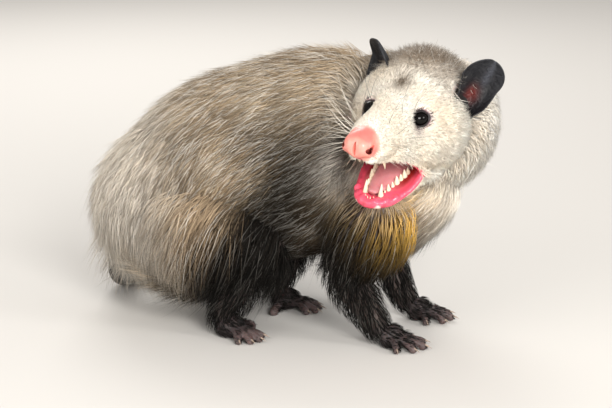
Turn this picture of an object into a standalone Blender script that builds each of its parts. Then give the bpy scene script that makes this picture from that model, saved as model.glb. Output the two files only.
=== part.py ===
"""Virginia opossum at life size, standing at bay with its head turned back over its shoulder and its mouth open.

The flesh is a set of lofts through named stations. A coat of tapered locks is rooted in a core that follows the
skin, and every named part meets the next across a thin parting. Lengths in the tables are millimetres.
"""
import math
import random

import bmesh
import bpy
import numpy as np
from mathutils import Matrix, Vector

MM = 0.001
UP = Vector((0, 0, 1))
PARTING = 0.32
# The core of the coat as a share of its depth. Locks root in it and reach the rest of the way.
CORE = 0.45
SUNK = 4.0
# Faces that turn by less than this many degrees count as flat.
FLATNESS = 0.8
random.seed(7)

# Head: where the midpoint between the eyes is, how the head is turned, and how far the mouth gapes.
HEAD_PLACE = Vector((63.4, -89.5, 174.9))
HEAD_YAW = math.radians(-119.4)
HEAD_PITCH = math.radians(6.3)
HEAD_ROLL = math.radians(-9.1)
HEAD_SIZE = 1.035
GAPE = math.radians(23)
JAW_HINGE = Vector((-32, 0, -18))
EYE_RADIUS = 6.2
EYE_PLACE = Vector((0.0, 17.0, -0.5))
LID = 1.3

# A trunk or limb station is (x, y, z, half width, half height, depth of coat) of the skin.
TORSO = [
    (-124, 31, 66, 10, 12, 24),
    (-114, 27, 72, 33, 33, 28),
    (-90, 19, 88, 47, 47, 30),
    (-55, 8, 107, 54, 60, 30),
    (-15, -5, 119, 54, 63, 29),
    (25, -17, 127, 49, 61, 33),
    (60, -28, 126, 43, 59, 34),
    (88, -36, 113, 33, 42, 24),
    (105, -41, 106, 14, 17, 16),
]
NECK = [
    (52, -26, 133, 36, 43, 33),
    (76, -26, 149, 39, 46, 28),
    (92, -34, 158, 36, 40, 15),
    (92, -50, 167, 34, 36, 13),
    (83, -64, 172, 27, 31, 10),
]
THIGH_RIGHT = [
    (-103, 0, 78, 23, 30, 24),
    (-80, -24, 80, 29, 38, 22),
    (-54, -38, 79, 28, 36, 20),
    (-30, -47, 74, 18, 25, 14),
    (-20, -50, 70, 8, 12, 12),
]
SHANK_RIGHT = [
    (-30, -47, 76, 15, 18, 14),
    (-38, -50, 58, 15, 18, 15),
    (-50, -52, 38, 11, 13, 13),
    (-60, -53, 21, 9, 9, 5),
    (-62, -53, 9, 8, 8, 2),
]
THIGH_LEFT = [
    (-86, 46, 92, 22, 30, 20),
    (-64, 50, 88, 29, 38, 22),
    (-34, 48, 82, 28, 36, 20),
    (-6, 42, 76, 18, 24, 14),
    (4, 39, 70, 8, 12, 10),
]
SHANK_LEFT = [
    (-4, 40, 76, 15, 18, 12),
    (-8, 35, 58, 15, 18, 12),
    (-14, 28, 38, 11, 13, 9),
    (-21, 21, 21, 9, 9, 4),
    (-23, 20, 9, 8, 8, 2),
]
UPPER_ARM_RIGHT = [
    (62, -50, 116, 20, 24, 14),
    (53, -64, 94, 22, 26, 14),
    (39, -71, 73, 17, 21, 12),
    (28, -72, 58, 10, 12, 10),
]
FOREARM_RIGHT = [
    (27, -71, 66, 12, 13, 10),
    (33, -73, 47, 12, 14, 10),
    (43, -75, 29, 9, 11, 8),
    (51, -77, 15, 8, 9, 4),
    (55, -79, 8, 7, 8, 2),
]
UPPER_ARM_LEFT = [
    (78, -12, 114, 19, 24, 12),
    (78, -2, 93, 19, 23, 12),
    (69, 2, 73, 15, 19, 10),
    (60, 2, 58, 9, 11, 8),
]
FOREARM_LEFT = [
    (59, 1, 66, 12, 13, 8),
    (62, -2, 47, 11, 13, 8),
    (69, -6, 29, 9, 10, 6),
    (76, -9, 15, 8, 9, 3),
    (79, -11, 8, 7, 8, 2),
]
# The tail leaves the rump low, drops to the floor and lies curled behind the hind feet.
TAIL = [
    (-112, 30, 66, 13, 13, 0),
    (-130, 36, 52, 12.5, 12.5, 0),
    (-143, 48, 32, 11.5, 11.5, 0),
    (-147, 68, 14, 10.5, 10.5, 0),
    (-139, 92, 8.5, 9.6, 9.6, 0),
    (-118, 112, 7.6, 8.7, 8.7, 0),
    (-90, 122, 6.8, 7.9, 7.9, 0),
    (-62, 118, 5.9, 7.0, 7.0, 0),
    (-44, 102, 5.0, 6.0, 6.0, 0),
    (-44, 83, 4.0, 5.0, 5.0, 0),
    (-58, 73, 3.1, 3.9, 3.9, 0),
    (-71, 76, 2.3, 2.8, 2.8, 0),
]
TAIL_JOINTS = (3.0, 5.4, 7.8)

# A head station is (x, top, widest, bottom, half width) in the head's own frame, its origin between the eyes.
HEAD = [
    (-64, 12, 2, -8, 8),
    (-59, 21, 2, -20, 20),
    (-46, 27, -5, -36, 32),
    (-30, 28, -10, -45, 38),
    (-16, 24, -13, -46, 38),
    (-7, 20, -13, -41, 33),
    (1, 17, -12, -29, 26),
    (11, 13.5, -11, -23.5, 21),
    (24, 9.5, -10, -20.5, 17.5),
    (36, 6, -9, -19, 15),
    (46, 3.5, -8, -18, 12),
    (51, 1.5, -8, -16, 9.4),
]
# The hollow of the mouth above the tongue, in the same form.
PALATE = [
    (-17, -24, -29, -34, 7),
    (-12, -20, -30, -41, 13),
    (-2, -18, -34, -50, 16.5),
    (10, -17.5, -34, -56, 15.5),
    (24, -16.5, -34, -58, 12.2),
    (36, -15.5, -34, -58, 9.6),
    (44, -15.5, -34, -58, 7),
    (46.5, -17, -34, -56, 4),
]
# The lower jaw with the mouth shut, and the trough between its lips.
JAW = [
    (-30, -22, -30, -42, 18),
    (-16, -24, -32, -46, 24),
    (0, -24.5, -31, -43, 21),
    (16, -23.5, -28, -37, 15.5),
    (29, -22.5, -26, -33, 11.5),
    (39, -21.5, -25, -30, 9),
    (45, -22, -25, -28.5, 6),
]
TROUGH = [
    (-14, -8, -22, -34, 15),
    (0, -8, -21, -34, 15.5),
    (16, -8, -20, -30.5, 12),
    (29, -8, -20, -27.5, 8.6),
    (38, -8, -20, -25.5, 6.2),
    (42, -8, -19, -24, 3.5),
]
TONGUE = [
    (-16, -25, -30, -36, 9),
    (-6, -22.5, -29, -35, 10.5),
    (8, -22.5, -27, -32.5, 10),
    (22, -22, -25, -28.5, 7.6),
    (31, -21, -23.5, -26, 5.4),
    (36, -20.5, -22, -24, 2.6),
]
NOSE = [
    (46.5, 2.8, -7.5, -14.5, 8.2),
    (50, 2.6, -7.2, -14.5, 9.6),
    (54, 1.2, -7.0, -13.8, 9.2),
    (57, -1.6, -7.0, -12.0, 6.8),
    (58.4, -4.4, -7.0, -9.8, 3.4),
]
# A tooth is (x, distance from the midline, half width, length) with the root at the gum.
UPPER_TEETH = [(46.2, 1.2, 0.9, 3.0), (45.4, 3.3, 0.9, 3.0), (43.6, 5.2, 0.9, 2.8), (37.5, 8.2, 1.6, 8.6),
               (31, 9.6, 1.3, 3.2), (25.5, 11.0, 1.5, 4.0), (19.5, 12.4, 1.7, 4.4), (13, 13.6, 2.1, 4.6),
               (6.5, 14.6, 2.2, 4.8), (0, 15.2, 2.2, 4.8)]
LOWER_TEETH = [(41.4, 1.0, 0.8, 4.4), (40.4, 3.0, 0.8, 4.2), (35.8, 5.8, 1.5, 8.4), (29.5, 7.8, 1.3, 4.6),
               (23.5, 9.6, 1.5, 5.2), (17.5, 11.3, 1.8, 5.6), (11.5, 12.2, 1.9, 5.4), (6.5, 12.8, 1.9, 5.0)]

EAR_LENGTH = 39
EAR_HALF_WIDTH = 15
EAR_THICK = 1.5
EAR_ROOT = Vector((-41, 29.5, 4))
# The left ear leans out, and the right one is pricked forwards. Both are given as for the left side.
EAR_AXIS = {1: Vector((-0.20, 0.52, 1.0)).normalized(), -1: Vector((0.38, 0.12, 0.92)).normalized()}
EAR_FACE = Vector((0.80, 0.62, -0.1))

# A foot is (centre of palm, heading, half length, half width of palm, digits); a digit is (turn from the
# heading in degrees, length beyond the palm, radius).
FEET = {
    "forefoot_right": ((62, -81, 6), -18, 9, 9.5, [(-62, 11, 2.6), (-30, 15, 2.8), (-4, 17, 2.8), (22, 15, 2.7),
                                                  (58, 11, 2.5)]),
    "forefoot_left": ((86, -13, 6), -18, 9, 9.5, [(-58, 11, 2.5), (-22, 15, 2.7), (4, 17, 2.8), (30, 15, 2.8),
                                                 (62, 11, 2.6)]),
    "hindfoot_right": ((-57, -56, 6), -40, 12, 9.5, [(-34, 13, 2.9), (-14, 16, 2.9), (4, 17, 2.9), (22, 15, 2.8),
                                                    (84, 14, 3.4)]),
    "hindfoot_left": ((-16, 15, 6), -30, 12, 9.5, [(-84, 14, 3.4), (-22, 15, 2.8), (-4, 17, 2.9), (14, 16, 2.9),
                                                  (34, 13, 2.9)]),
}
DIGIT_CLAW = 5.5

HEAD_FRAME = (Matrix.Translation(HEAD_PLACE) @ Matrix.Rotation(HEAD_YAW, 4, "Z")
              @ Matrix.Rotation(HEAD_PITCH, 4, "Y") @ Matrix.Rotation(HEAD_ROLL, 4, "X")
              @ Matrix.Scale(HEAD_SIZE, 4))
JAW_FRAME = (HEAD_FRAME @ Matrix.Translation(JAW_HINGE) @ Matrix.Rotation(GAPE, 4, "Y")
             @ Matrix.Translation(-JAW_HINGE))
BODY_SIDE = Vector((0.3, 0.954, 0))
HIND_SIDE = Vector((0.342, 0.94, 0))


def new_object(name, points, faces):
    """A mesh object from points in millimetres, its faces turned outwards and split into triangles."""
    mesh = bpy.data.meshes.new(name)
    mesh.from_pydata([Vector(p) * MM for p in points], [], faces)
    work = bmesh.new()
    work.from_mesh(mesh)
    bmesh.ops.recalc_face_normals(work, faces=work.faces)
    bmesh.ops.triangulate(work, faces=work.faces)
    work.to_mesh(mesh)
    work.free()
    made = bpy.data.objects.new(name, mesh)
    home.objects.link(made)
    return made


def close_rings(name, points, sides, rings):
    """Rings of points bridged into one closed body with flat ends."""
    faces = []
    for k in range(rings - 1):
        for j in range(sides):
            a = k * sides + j
            b = k * sides + (j + 1) % sides
            faces += [(a, b, b + sides), (a, b + sides, a + sides)]
    faces.append(tuple(range(sides)))
    faces.append(tuple(range((rings - 1) * sides, rings * sides)))
    return new_object(name, points, faces)


def along_rows(rows, u):
    """The row at place u on a smooth curve through the rows, u running from 0 to the last row's index."""
    last = len(rows) - 1
    i = max(0, min(int(u), last - 1))
    t = u - i
    a, b, c, d = (np.array(rows[min(max(k, 0), last)], float) for k in (i - 1, i, i + 1, i + 2))
    return 0.5 * (2 * b + (c - a) * t + (2 * a - 5 * b + 4 * c - d) * t * t + (3 * b - a - 3 * c + d) * t ** 3)


class Limb:
    """A tube of elliptical sections along a smooth path, with the depth of the coat that lies on it."""

    def __init__(self, rows, side=None, belly=1.0):
        self.rows = rows
        self.side = side
        self.belly = belly
        self.last = len(rows) - 1
        self.turn = 1
        if self.frame(self.last / 2)[3].z < 0:
            self.turn = -1

    def frame(self, u):
        row = along_rows(self.rows, u)
        ahead = along_rows(self.rows, min(u + 0.05, self.last))
        behind = along_rows(self.rows, max(u - 0.05, 0))
        along = Vector(ahead[:3] - behind[:3]).normalized()
        side = self.side or UP.cross(along)
        side = (side - along * side.dot(along)).normalized()
        return Vector(row[:3]), along, side, side.cross(along) * self.turn, row

    def coat(self, u, angle):
        share = 0.5 + self.belly / 2 + (0.5 - self.belly / 2) * math.sin(angle)
        return float(along_rows(self.rows, u)[5]) * share

    def point(self, u, angle, core=0.0, grow=0.0):
        """A point of the skin raised by a share of the coat's depth and by a length."""
        centre, along, side, rise, row = self.frame(u)
        out = core * self.coat(u, angle)
        centre = centre - along * out * max(0.0, 1 - u) + along * out * max(0.0, u - self.last + 1)
        centre = centre + along * grow * ((u >= self.last) - (u <= 0))
        out += grow
        return centre + side * (row[3] + out) * math.cos(angle) + rise * (row[4] + out) * math.sin(angle)

    def normal(self, u, angle):
        """The way out of the skin."""
        low, top = max(u - 0.1, 0.0), min(u + 0.1, self.last)
        made = (self.point(top, angle, CORE) - self.point(low, angle, CORE)).cross(
            self.point(u, angle + 0.1, CORE) - self.point(u, angle - 0.1, CORE)).normalized()
        outward = self.point(u, angle, CORE) - self.frame(u)[0]
        return made if made.dot(outward) > 0 else -made

    def holds(self, place, share, slack=0.0):
        """Whether a point lies inside the tube raised by a share of its coat."""
        for k in range(4 * self.last + 1):
            centre, along, side, rise, row = self.frame(k / 4)
            away = place - centre
            wide = row[3] + share * row[5] + slack
            high = row[4] + share * row[5] + slack
            if abs(away.dot(along)) < 9 and (away.dot(side) / wide) ** 2 + (away.dot(rise) / high) ** 2 < 1:
                return True
        return False

    def body(self, name, sides, rings, core=0.0, grow=0.0, start=0.0, end=None):
        end = self.last if end is None else end
        points = []
        for k in range(rings):
            u = start + (end - start) * k / (rings - 1)
            points += [self.point(u, 2 * math.pi * j / sides, core, grow) for j in range(sides)]
        return close_rings(name, points, sides, rings)


def hull(name, points, axis=None, grow=0.0):
    """The convex body around points in millimetres, stretched by a length along an axis and across it."""
    work = bmesh.new()
    if grow:
        middle = sum(points, Vector()) / len(points)
        reach = [abs((place - middle).dot(axis)) for place in points]
        far = [((place - middle) - axis * (place - middle).dot(axis)).length for place in points]
        longer = grow / (0.5 * max(reach))
        wider = grow / (0.8 * min(far))
        points = [place + (place - middle) * wider + axis * (place - middle).dot(axis) * (longer - wider)
                  for place in points]
    for place in points:
        work.verts.new(place * MM)
    made = bmesh.ops.convex_hull(work, input=work.verts)
    spare = [v for v in made["geom_interior"] + made["geom_unused"] if isinstance(v, bmesh.types.BMVert)]
    bmesh.ops.delete(work, geom=list(set(spare)), context="VERTS")
    bmesh.ops.recalc_face_normals(work, faces=work.faces)
    mesh = bpy.data.meshes.new(name)
    work.to_mesh(mesh)
    work.free()
    body = bpy.data.objects.new(name, mesh)
    home.objects.link(body)
    return body


def head_point(rows, u, angle, grow=0.0):
    """A point of a head loft in the head's frame: one half round above the widest line and one below it."""
    x, top, widest, bottom, wide = along_rows(rows, u)
    rise = top + grow - widest if math.sin(angle) > 0 else widest - bottom + grow
    return Vector((x + grow * ((u >= len(rows) - 1) - (u <= 0)), (wide + grow) * math.cos(angle), widest + rise * math.sin(angle)))


def head_loft(name, rows, place, sides, rings, grow=0.0):
    points = []
    for k in range(rings):
        u = (len(rows) - 1) * k / (rings - 1)
        points += [place @ head_point(rows, u, 2 * math.pi * (j + 0.5) / sides, grow) for j in range(sides)]
    return close_rings(name, points, sides, rings)


def ball(name, place, radii, frame, segments=12, rings=7):
    """An ellipsoid from a primitive sphere."""
    work = bmesh.new()
    bmesh.ops.create_uvsphere(work, u_segments=segments, v_segments=rings, radius=1)
    bmesh.ops.scale(work, vec=Vector(radii), verts=work.verts)
    bmesh.ops.transform(work, matrix=Matrix.Scale(MM, 4) @ frame @ Matrix.Translation(place), verts=work.verts)
    bmesh.ops.triangulate(work, faces=work.faces)
    mesh = bpy.data.meshes.new(name)
    work.to_mesh(mesh)
    work.free()
    made = bpy.data.objects.new(name, mesh)
    home.objects.link(made)
    return made


def spike(name, root, tip, radius, frame, sides=5):
    """A tooth or claw: a cone from its root to a blunt tip."""
    along = (tip - root).normalized()
    side = along.orthogonal().normalized()
    other = along.cross(side)
    points = []
    for place, size in ((root, 1.0), (tip, 0.3)):
        for j in range(sides):
            angle = 2 * math.pi * j / sides
            points.append(frame @ (place + (side * math.cos(angle) + other * math.sin(angle)) * radius * size))
    return close_rings(name, points, sides, 2)


def apply_modifiers(body):
    with bpy.context.temp_override(object=body, active_object=body, selected_objects=[body]):
        for modifier in list(body.modifiers):
            bpy.ops.object.modifier_apply(modifier=modifier.name)


def combine(body, others, operation):
    """Joins the others to a body, or cuts them out of it, and removes them.

    The many shallow crossings leave open edges with the exact solver, so the manifold one is used.
    """
    if not others:
        return body
    group = bpy.data.collections.new(operation.lower())
    bpy.context.scene.collection.children.link(group)
    for other in others:
        home.objects.unlink(other)
        group.objects.link(other)
    modifier = body.modifiers.new(operation.lower(), "BOOLEAN")
    modifier.operation = operation
    modifier.operand_type = "COLLECTION"
    modifier.collection = group
    modifier.solver = "MANIFOLD"
    apply_modifiers(body)
    for other in list(group.objects):
        bpy.data.objects.remove(other)
    bpy.data.collections.remove(group)
    return body


def drop_fins(work):
    """Removes slivers that lie back to back on the same three corners."""
    seen = {}
    fins = []
    for face in work.faces:
        corners = frozenset(face.verts)
        if corners in seen:
            fins += [face, seen[corners]]
        seen[corners] = face
    bmesh.ops.delete(work, geom=fins, context="FACES")


def surface_volume(island):
    faces = {face for vertex in island for face in vertex.link_faces}
    return abs(sum(f.verts[0].co.dot(f.verts[1].co.cross(f.verts[2].co)) for f in faces))


def keep_largest(body):
    """Drops every loose closed surface but the largest."""
    work = bmesh.new()
    work.from_mesh(body.data)
    left = set(work.verts)
    islands = []
    while left:
        island = {left.pop()}
        stack = list(island)
        while stack:
            for edge in stack.pop().link_edges:
                for vertex in edge.verts:
                    if vertex in left:
                        left.discard(vertex)
                        island.add(vertex)
                        stack.append(vertex)
        islands.append(island)
    islands.sort(key=surface_volume, reverse=True)
    for island in islands[1:]:
        bmesh.ops.delete(work, geom=list(island), context="VERTS")
    bmesh.ops.dissolve_limit(work, angle_limit=math.radians(FLATNESS), verts=work.verts, edges=work.edges)
    bmesh.ops.triangulate(work, faces=work.faces)
    drop_fins(work)
    work.to_mesh(body.data)
    work.free()
    return body


def dress(name, colour, roughness):
    """The material of a finished part."""
    made = bpy.data.materials.new(name)
    made.use_nodes = True
    surface = made.node_tree.nodes["Principled BSDF"]
    surface.inputs["Base Color"].default_value = (*colour, 1)
    surface.inputs["Roughness"].default_value = roughness
    surface.inputs["Metallic"].default_value = 0.0
    bpy.data.objects[name].data.materials.clear()
    bpy.data.objects[name].data.materials.append(made)


for thing in list(bpy.data.objects):
    bpy.data.objects.remove(thing)
home = bpy.data.collections.new("opossum")
bpy.context.scene.collection.children.link(home)

torso_limb = Limb(TORSO, None, 0.5)
neck_limb = Limb(NECK, None, 0.9)
LEGS = {
    "hindleg_right": (Limb(THIGH_RIGHT, HIND_SIDE), Limb(SHANK_RIGHT, HIND_SIDE)),
    "hindleg_left": (Limb(THIGH_LEFT, HIND_SIDE), Limb(SHANK_LEFT, HIND_SIDE)),
    "foreleg_right": (Limb(UPPER_ARM_RIGHT, BODY_SIDE), Limb(FOREARM_RIGHT, BODY_SIDE)),
    "foreleg_left": (Limb(UPPER_ARM_LEFT, BODY_SIDE), Limb(FOREARM_LEFT, BODY_SIDE)),
}


# Ears: thin cupped leaves, rolled into a tube at the root.
def ear_middle(side, t, s, grow=0.0):
    """A point of the ear's middle surface: t runs from root to tip and s from edge to edge."""
    axis = Vector((EAR_AXIS[side].x, side * EAR_AXIS[side].y, EAR_AXIS[side].z))
    face = Vector((EAR_FACE.x, side * EAR_FACE.y, EAR_FACE.z))
    face = (face - axis * face.dot(axis)).normalized()
    across = axis.cross(face)
    root = Vector((EAR_ROOT.x, side * EAR_ROOT.y, EAR_ROOT.z))
    width = 0.52 + 0.48 * math.sin(min(t / 0.62, 1) * math.pi / 2)
    if t > 0.62:
        width *= math.sqrt(max(0.0, 1 - ((t - 0.62) / 0.385) ** 2))
    curl = math.radians(128 - 78 * min(t / 0.5, 1))
    radius = (EAR_HALF_WIDTH * width + grow) / math.sin(min(curl, math.pi / 2))
    curl += 0.2 * grow
    lean = 3.5 * math.sin(t * math.pi)
    return (root + axis * (t * (EAR_LENGTH + grow) - grow * (1 - t)) + across * radius * math.sin(curl * s)
            + face * (radius * (1 - math.cos(curl * s)) - lean))


EAR_ROWS = 8
EAR_COLUMNS = 7


def ear_sides(side, grow=0.0):
    """The two faces of the ear's leaf as rows of points, root to tip."""
    front, back = [], []
    for i in range(EAR_ROWS):
        t = i / (EAR_ROWS - 1)
        t = 0.5 * t + 0.5 * math.sin(t * math.pi / 2)
        for j in range(EAR_COLUMNS):
            s = 2 * j / (EAR_COLUMNS - 1) - 1
            here = ear_middle(side, t, s, grow)
            up = ear_middle(side, min(t + 0.02, 0.99), s, grow) - ear_middle(side, max(min(t, 0.97) - 0.02, 0), s, grow)
            over = ear_middle(side, t * 0.98, s + 0.02, grow) - ear_middle(side, t * 0.98, s - 0.02, grow)
            normal = up.cross(over).normalized()
            front.append(HEAD_FRAME @ (here + normal * (EAR_THICK / 2 + grow)))
            back.append(HEAD_FRAME @ (here - normal * (EAR_THICK / 2 + grow)))
    return front, back


def ear(name, side):
    rows, columns = EAR_ROWS, EAR_COLUMNS
    front, back = ear_sides(side)
    faces = []
    count = rows * columns
    for i in range(rows - 1):
        for j in range(columns - 1):
            a = i * columns + j
            quad = (a, a + 1, a + columns + 1, a + columns)
            faces += [(quad[0], quad[1], quad[2]), (quad[0], quad[2], quad[3])]
            faces += [(quad[2] + count, quad[1] + count, quad[0] + count)]
            faces += [(quad[3] + count, quad[2] + count, quad[0] + count)]
    rim = [j for j in range(columns)] + [i * columns + columns - 1 for i in range(1, rows)]
    rim += [(rows - 1) * columns + j for j in range(columns - 2, -1, -1)] + [i * columns for i in range(rows - 2, 0, -1)]
    for a, b in zip(rim, rim[1:] + rim[:1]):
        faces.append((a, b, b + count, a + count))
    return new_object(name, front + back, faces)


def ear_place(side, grow):
    """All the room that an ear and its cup take up."""
    front, back = ear_sides(side, grow)
    pieces = []
    for i in range(EAR_ROWS - 1):
        span = slice(i * EAR_COLUMNS, (i + 2) * EAR_COLUMNS)
        pieces.append(hull("ear_place", front[span] + back[span]))
    return whole(pieces)


def eye_at(side):
    return Vector((EYE_PLACE.x, side * EYE_PLACE.y, EYE_PLACE.z))


def lay_face():
    """Short locks of the cheek ruff and crown, rooted in the head behind the eyes."""
    made = []
    turn = HEAD_FRAME.to_3x3()
    rows = ((2.9, 4, -46, 60, 30, 11), (1.7, 5, -50, 88, 34, 13))
    for side in (1, -1):
        for number, (u, count, first, last, length, wide) in enumerate(rows):
            for k in range(count):
                angle = math.radians(first + (last - first) * (k + 0.5 * (number % 2)) / (count - 0.5))
                here = head_point(HEAD, u, angle)
                around = head_point(HEAD, u, angle + 0.1) - head_point(HEAD, u, angle - 0.1)
                ahead = head_point(HEAD, u + 0.1, angle) - head_point(HEAD, u - 0.1, angle)
                out = around.cross(ahead).normalized()
                if out.dot(here - Vector((here.x, 0, -10))) < 0:
                    out = -out
                flow = Vector((-1, 0.25 * math.cos(angle), -0.3 + 0.35 * math.sin(angle)))
                flow = (flow - out * flow.dot(out)).normalized()
                flow = (flow + out.cross(flow) * random.uniform(-0.15, 0.15)).normalized()
                row = [Vector((v.x, v.y * side, v.z)) for v in (here, out, flow)]
                ear_root = Vector((EAR_ROOT.x, side * EAR_ROOT.y, EAR_ROOT.z))
                if (row[0] - ear_root).length < 13:
                    continue
                made.append((HEAD_FRAME @ row[0], (turn @ row[1]).normalized(), (turn @ row[2]).normalized(),
                             vary(length, 0.12), FACE_COAT, vary(wide, 0.1), 1.9, 0.012))
    return made


def skull_pieces(grow=0.0):
    """The skull's loft with its lids."""
    pieces = [head_loft("head", HEAD, HEAD_FRAME, 18, 14, grow)]
    for side in (1, -1):
        pieces.append(ball("lid", eye_at(side), (EYE_RADIUS + LID + grow,) * 3, HEAD_FRAME))
    return pieces


def head_pieces(grow=0.0):
    return skull_pieces(grow) + set_locks(face_locks, grow)


def lock(root, out, flow, length, reach, wide, thick, bend, grow):
    """One flat, tapered lock of coat.

    It leaves the core at its root, lies along the flow, follows the body's curve by the bend, sags a little and
    comes to a point. Its section is a flat diamond.
    """
    across = out.cross(flow).normalized()
    rings = []
    shape = ((0.0, 0.0, 0.78, 0.9), (0.34, 0.52, 1.0, 1.0), (0.70, 0.88, 0.74, 0.72), (1.0, 1.0, 0.0, 0.0))
    for share, height, width, depth in shape:
        at = share * length
        place = root + flow * at + out * (-SUNK + (SUNK + reach) * height - 0.5 * bend * at * at)
        place = place - UP * (0.08 * length * share * share)
        place.z = max(place.z, 4.0)
        rings.append((place, wide * width, thick * depth))
    tip = rings[-1][0] + (rings[-1][0] - rings[-2][0]).normalized() * 10 * grow
    tip.z = max(tip.z, 3.0 - grow)
    points = []
    for place, width, depth in rings[:-1]:
        width += 5 * grow
        depth += 1.4 * grow
        points += [place + across * width, place + out * depth, place - across * width, place - out * depth]
    points = [p - (out + flow) * grow if k < 4 else p for k, p in enumerate(points)] + [tip]
    faces = [(3, 2, 1, 0)]
    for k in (0, 4):
        for j in range(4):
            a, b = k + j, k + (j + 1) % 4
            faces += [(a, b, b + 4), (a, b + 4, a + 4)]
    faces += [(8 + j, 8 + (j + 1) % 4, 12) for j in range(4)]
    return new_object("lock", points, faces)


def vary(size, share):
    return size * random.uniform(1 - share, 1 + share)


def lay_coat(limb, plan, others, seen=None):
    """Chooses where the locks of a limb root and how they lie.

    A row of the plan is (place along the limb, locks around, first and last angle in degrees, length, half width,
    half thickness, share of the lie along the limb, share of it downwards).
    """
    made = []
    for number, (u, count, first, last, length, wide, thick, lead, fall) in enumerate(plan):
        for k in range(count):
            share = (k + 0.5 * (number % 2) + random.uniform(-0.12, 0.12)) / count
            angle = math.radians(first + (last - first) * share)
            at = min(max(u + random.uniform(-0.1, 0.1), 0.0), limb.last)
            centre, along, _, _, row = limb.frame(at)
            out = limb.normal(at, angle)
            flow = along * lead - UP * fall
            flow = flow - out * flow.dot(out)
            if flow.length < 0.2:
                flow = along * math.copysign(1, lead)
                flow = flow - out * flow.dot(out)
            flow = (flow.normalized() + out.cross(flow).normalized() * random.uniform(-0.16, 0.16)).normalized()
            root = limb.point(at, angle, CORE)
            across = abs(flow.dot(along))
            bend = (1 - across * across) / (row[3] + 20) + across * across / 190
            long = vary(length, 0.14)
            reach = (1 - CORE) * limb.coat(at, angle)
            tip = root + flow * long + out * (reach - 0.5 * bend * long * long)
            if any(other.holds(root, CORE, 1.0) or other.holds(tip, CORE, -3.0) for other in others):
                continue
            if head_holds(root, 1.0) or head_holds(tip, -3.0):
                continue
            if seen and not seen(root, out):
                continue
            made.append((root, out, flow, long, reach, vary(wide, 0.12), thick, bend))
    return made


def set_locks(laid, grow):
    return [lock(*row, grow) for row in laid]


def head_holds(place, slack):
    """Whether a point lies in the head's loft."""
    local = HEAD_FRAME.inverted() @ place
    if local.x < HEAD[0][0] - slack or local.x > HEAD[-1][0] + slack:
        return False
    for k in range(len(HEAD) - 1):
        if HEAD[k][0] <= local.x <= HEAD[k + 1][0]:
            t = (local.x - HEAD[k][0]) / (HEAD[k + 1][0] - HEAD[k][0])
            top, widest, bottom, wide = [HEAD[k][i] * (1 - t) + HEAD[k + 1][i] * t for i in range(1, 5)]
            high = top - widest if local.z > widest else widest - bottom
            return (local.y / (wide + slack)) ** 2 + ((local.z - widest) / (high + slack)) ** 2 < 1
    return False


def below_floor():
    """A block under the floor, which trims soles and tail to one level."""
    work = bmesh.new()
    bmesh.ops.create_cube(work, size=1)
    bmesh.ops.scale(work, vec=Vector((0.5, 0.5, 0.06)), verts=work.verts)
    bmesh.ops.translate(work, vec=Vector((0, 0, -0.03)), verts=work.verts)
    mesh = bpy.data.meshes.new("below_floor")
    work.to_mesh(mesh)
    work.free()
    made = bpy.data.objects.new("below_floor", mesh)
    home.objects.link(made)
    return made


def foot(name, grow=0.0):
    """A palm with five spread digits and their claws, all flat where they meet the floor."""
    centre, heading, long, wide, digits = FEET[name]
    turn = math.radians(heading)
    frame = Matrix.Translation(Vector(centre)) @ Matrix.Rotation(turn, 4, "Z")
    palm = ball(name, Vector((0, 0, 1.5)), (long + grow, wide + grow, 9.5 + grow), frame, 9, 5)
    pieces = []
    for angle, length, radius in digits:
        away = math.radians(angle)
        out = Vector((math.cos(away), math.sin(away), 0))
        start = Vector((out.x * long * 0.45, out.y * wide * 0.45, -1.0))
        edge = Vector((out.x * long, out.y * wide, 0.0))
        rows = []
        for place, height, size in ((start, 0.0, 1.25), (edge + out * 0.15 * length, 0.5, 1.12),
                                    (edge + out * 0.55 * length, -0.6, 1.0), (edge + out * length, -3.2, 0.9)):
            at = frame @ Vector((place.x, place.y, height))
            rows.append((at.x, at.y, at.z, (radius * size + grow), (radius * size + grow), 0))
        side = (frame.to_3x3() @ Vector((-out.y, out.x, 0))).normalized()
        pieces.append(Limb(rows, side).body("digit", 5, 3))
        claw = edge + out * (length - 0.5)
        claw.z = -2.6
        pieces.append(spike("claw", claw, claw + out * DIGIT_CLAW + Vector((0, 0, -1.8)), 1.3 + grow, frame, 3))
    combine(palm, pieces, "UNION")
    combine(palm, [below_floor()], "DIFFERENCE")
    return keep_largest(palm)


def leg_pieces(name, part, grow=0.0):
    """The upper or the lower length of a leg, with its locks."""
    kind, side = name.split("_")
    limb = LEGS[name][part]
    body = limb.body(LENGTH_NAMES[kind][part] + "_" + side, (12, 10)[part], 7, CORE, grow)
    return [body] + set_locks(leg_locks[name][part], grow)


def torso_pieces(grow=0.0):
    return [torso_limb.body("torso", 20, 14, CORE, grow)] + set_locks(torso_locks, grow)


def neck_pieces(grow=0.0):
    """The neck bends more sharply than it is wide, so it is a row of overlapping convex lengths."""
    steps = 5
    pieces = []
    for k in range(steps):
        ends = (max(0.0, (k - 0.12) / steps), min(1.0, (k + 1.12) / steps))
        ring = [neck_limb.point(neck_limb.last * u, 2 * math.pi * j / 12, CORE) for u in ends for j in range(12)]
        pieces.append(hull("neck", ring, neck_limb.frame(neck_limb.last * (k + 0.5) / steps)[1], grow))
    return pieces + set_locks(neck_locks, grow)


def tail_piece(name, start, end, grow=0.0):
    return Limb(TAIL).body(name, 9, max(3, int((end - start) * 3)), 0, grow, start, end)


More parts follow.
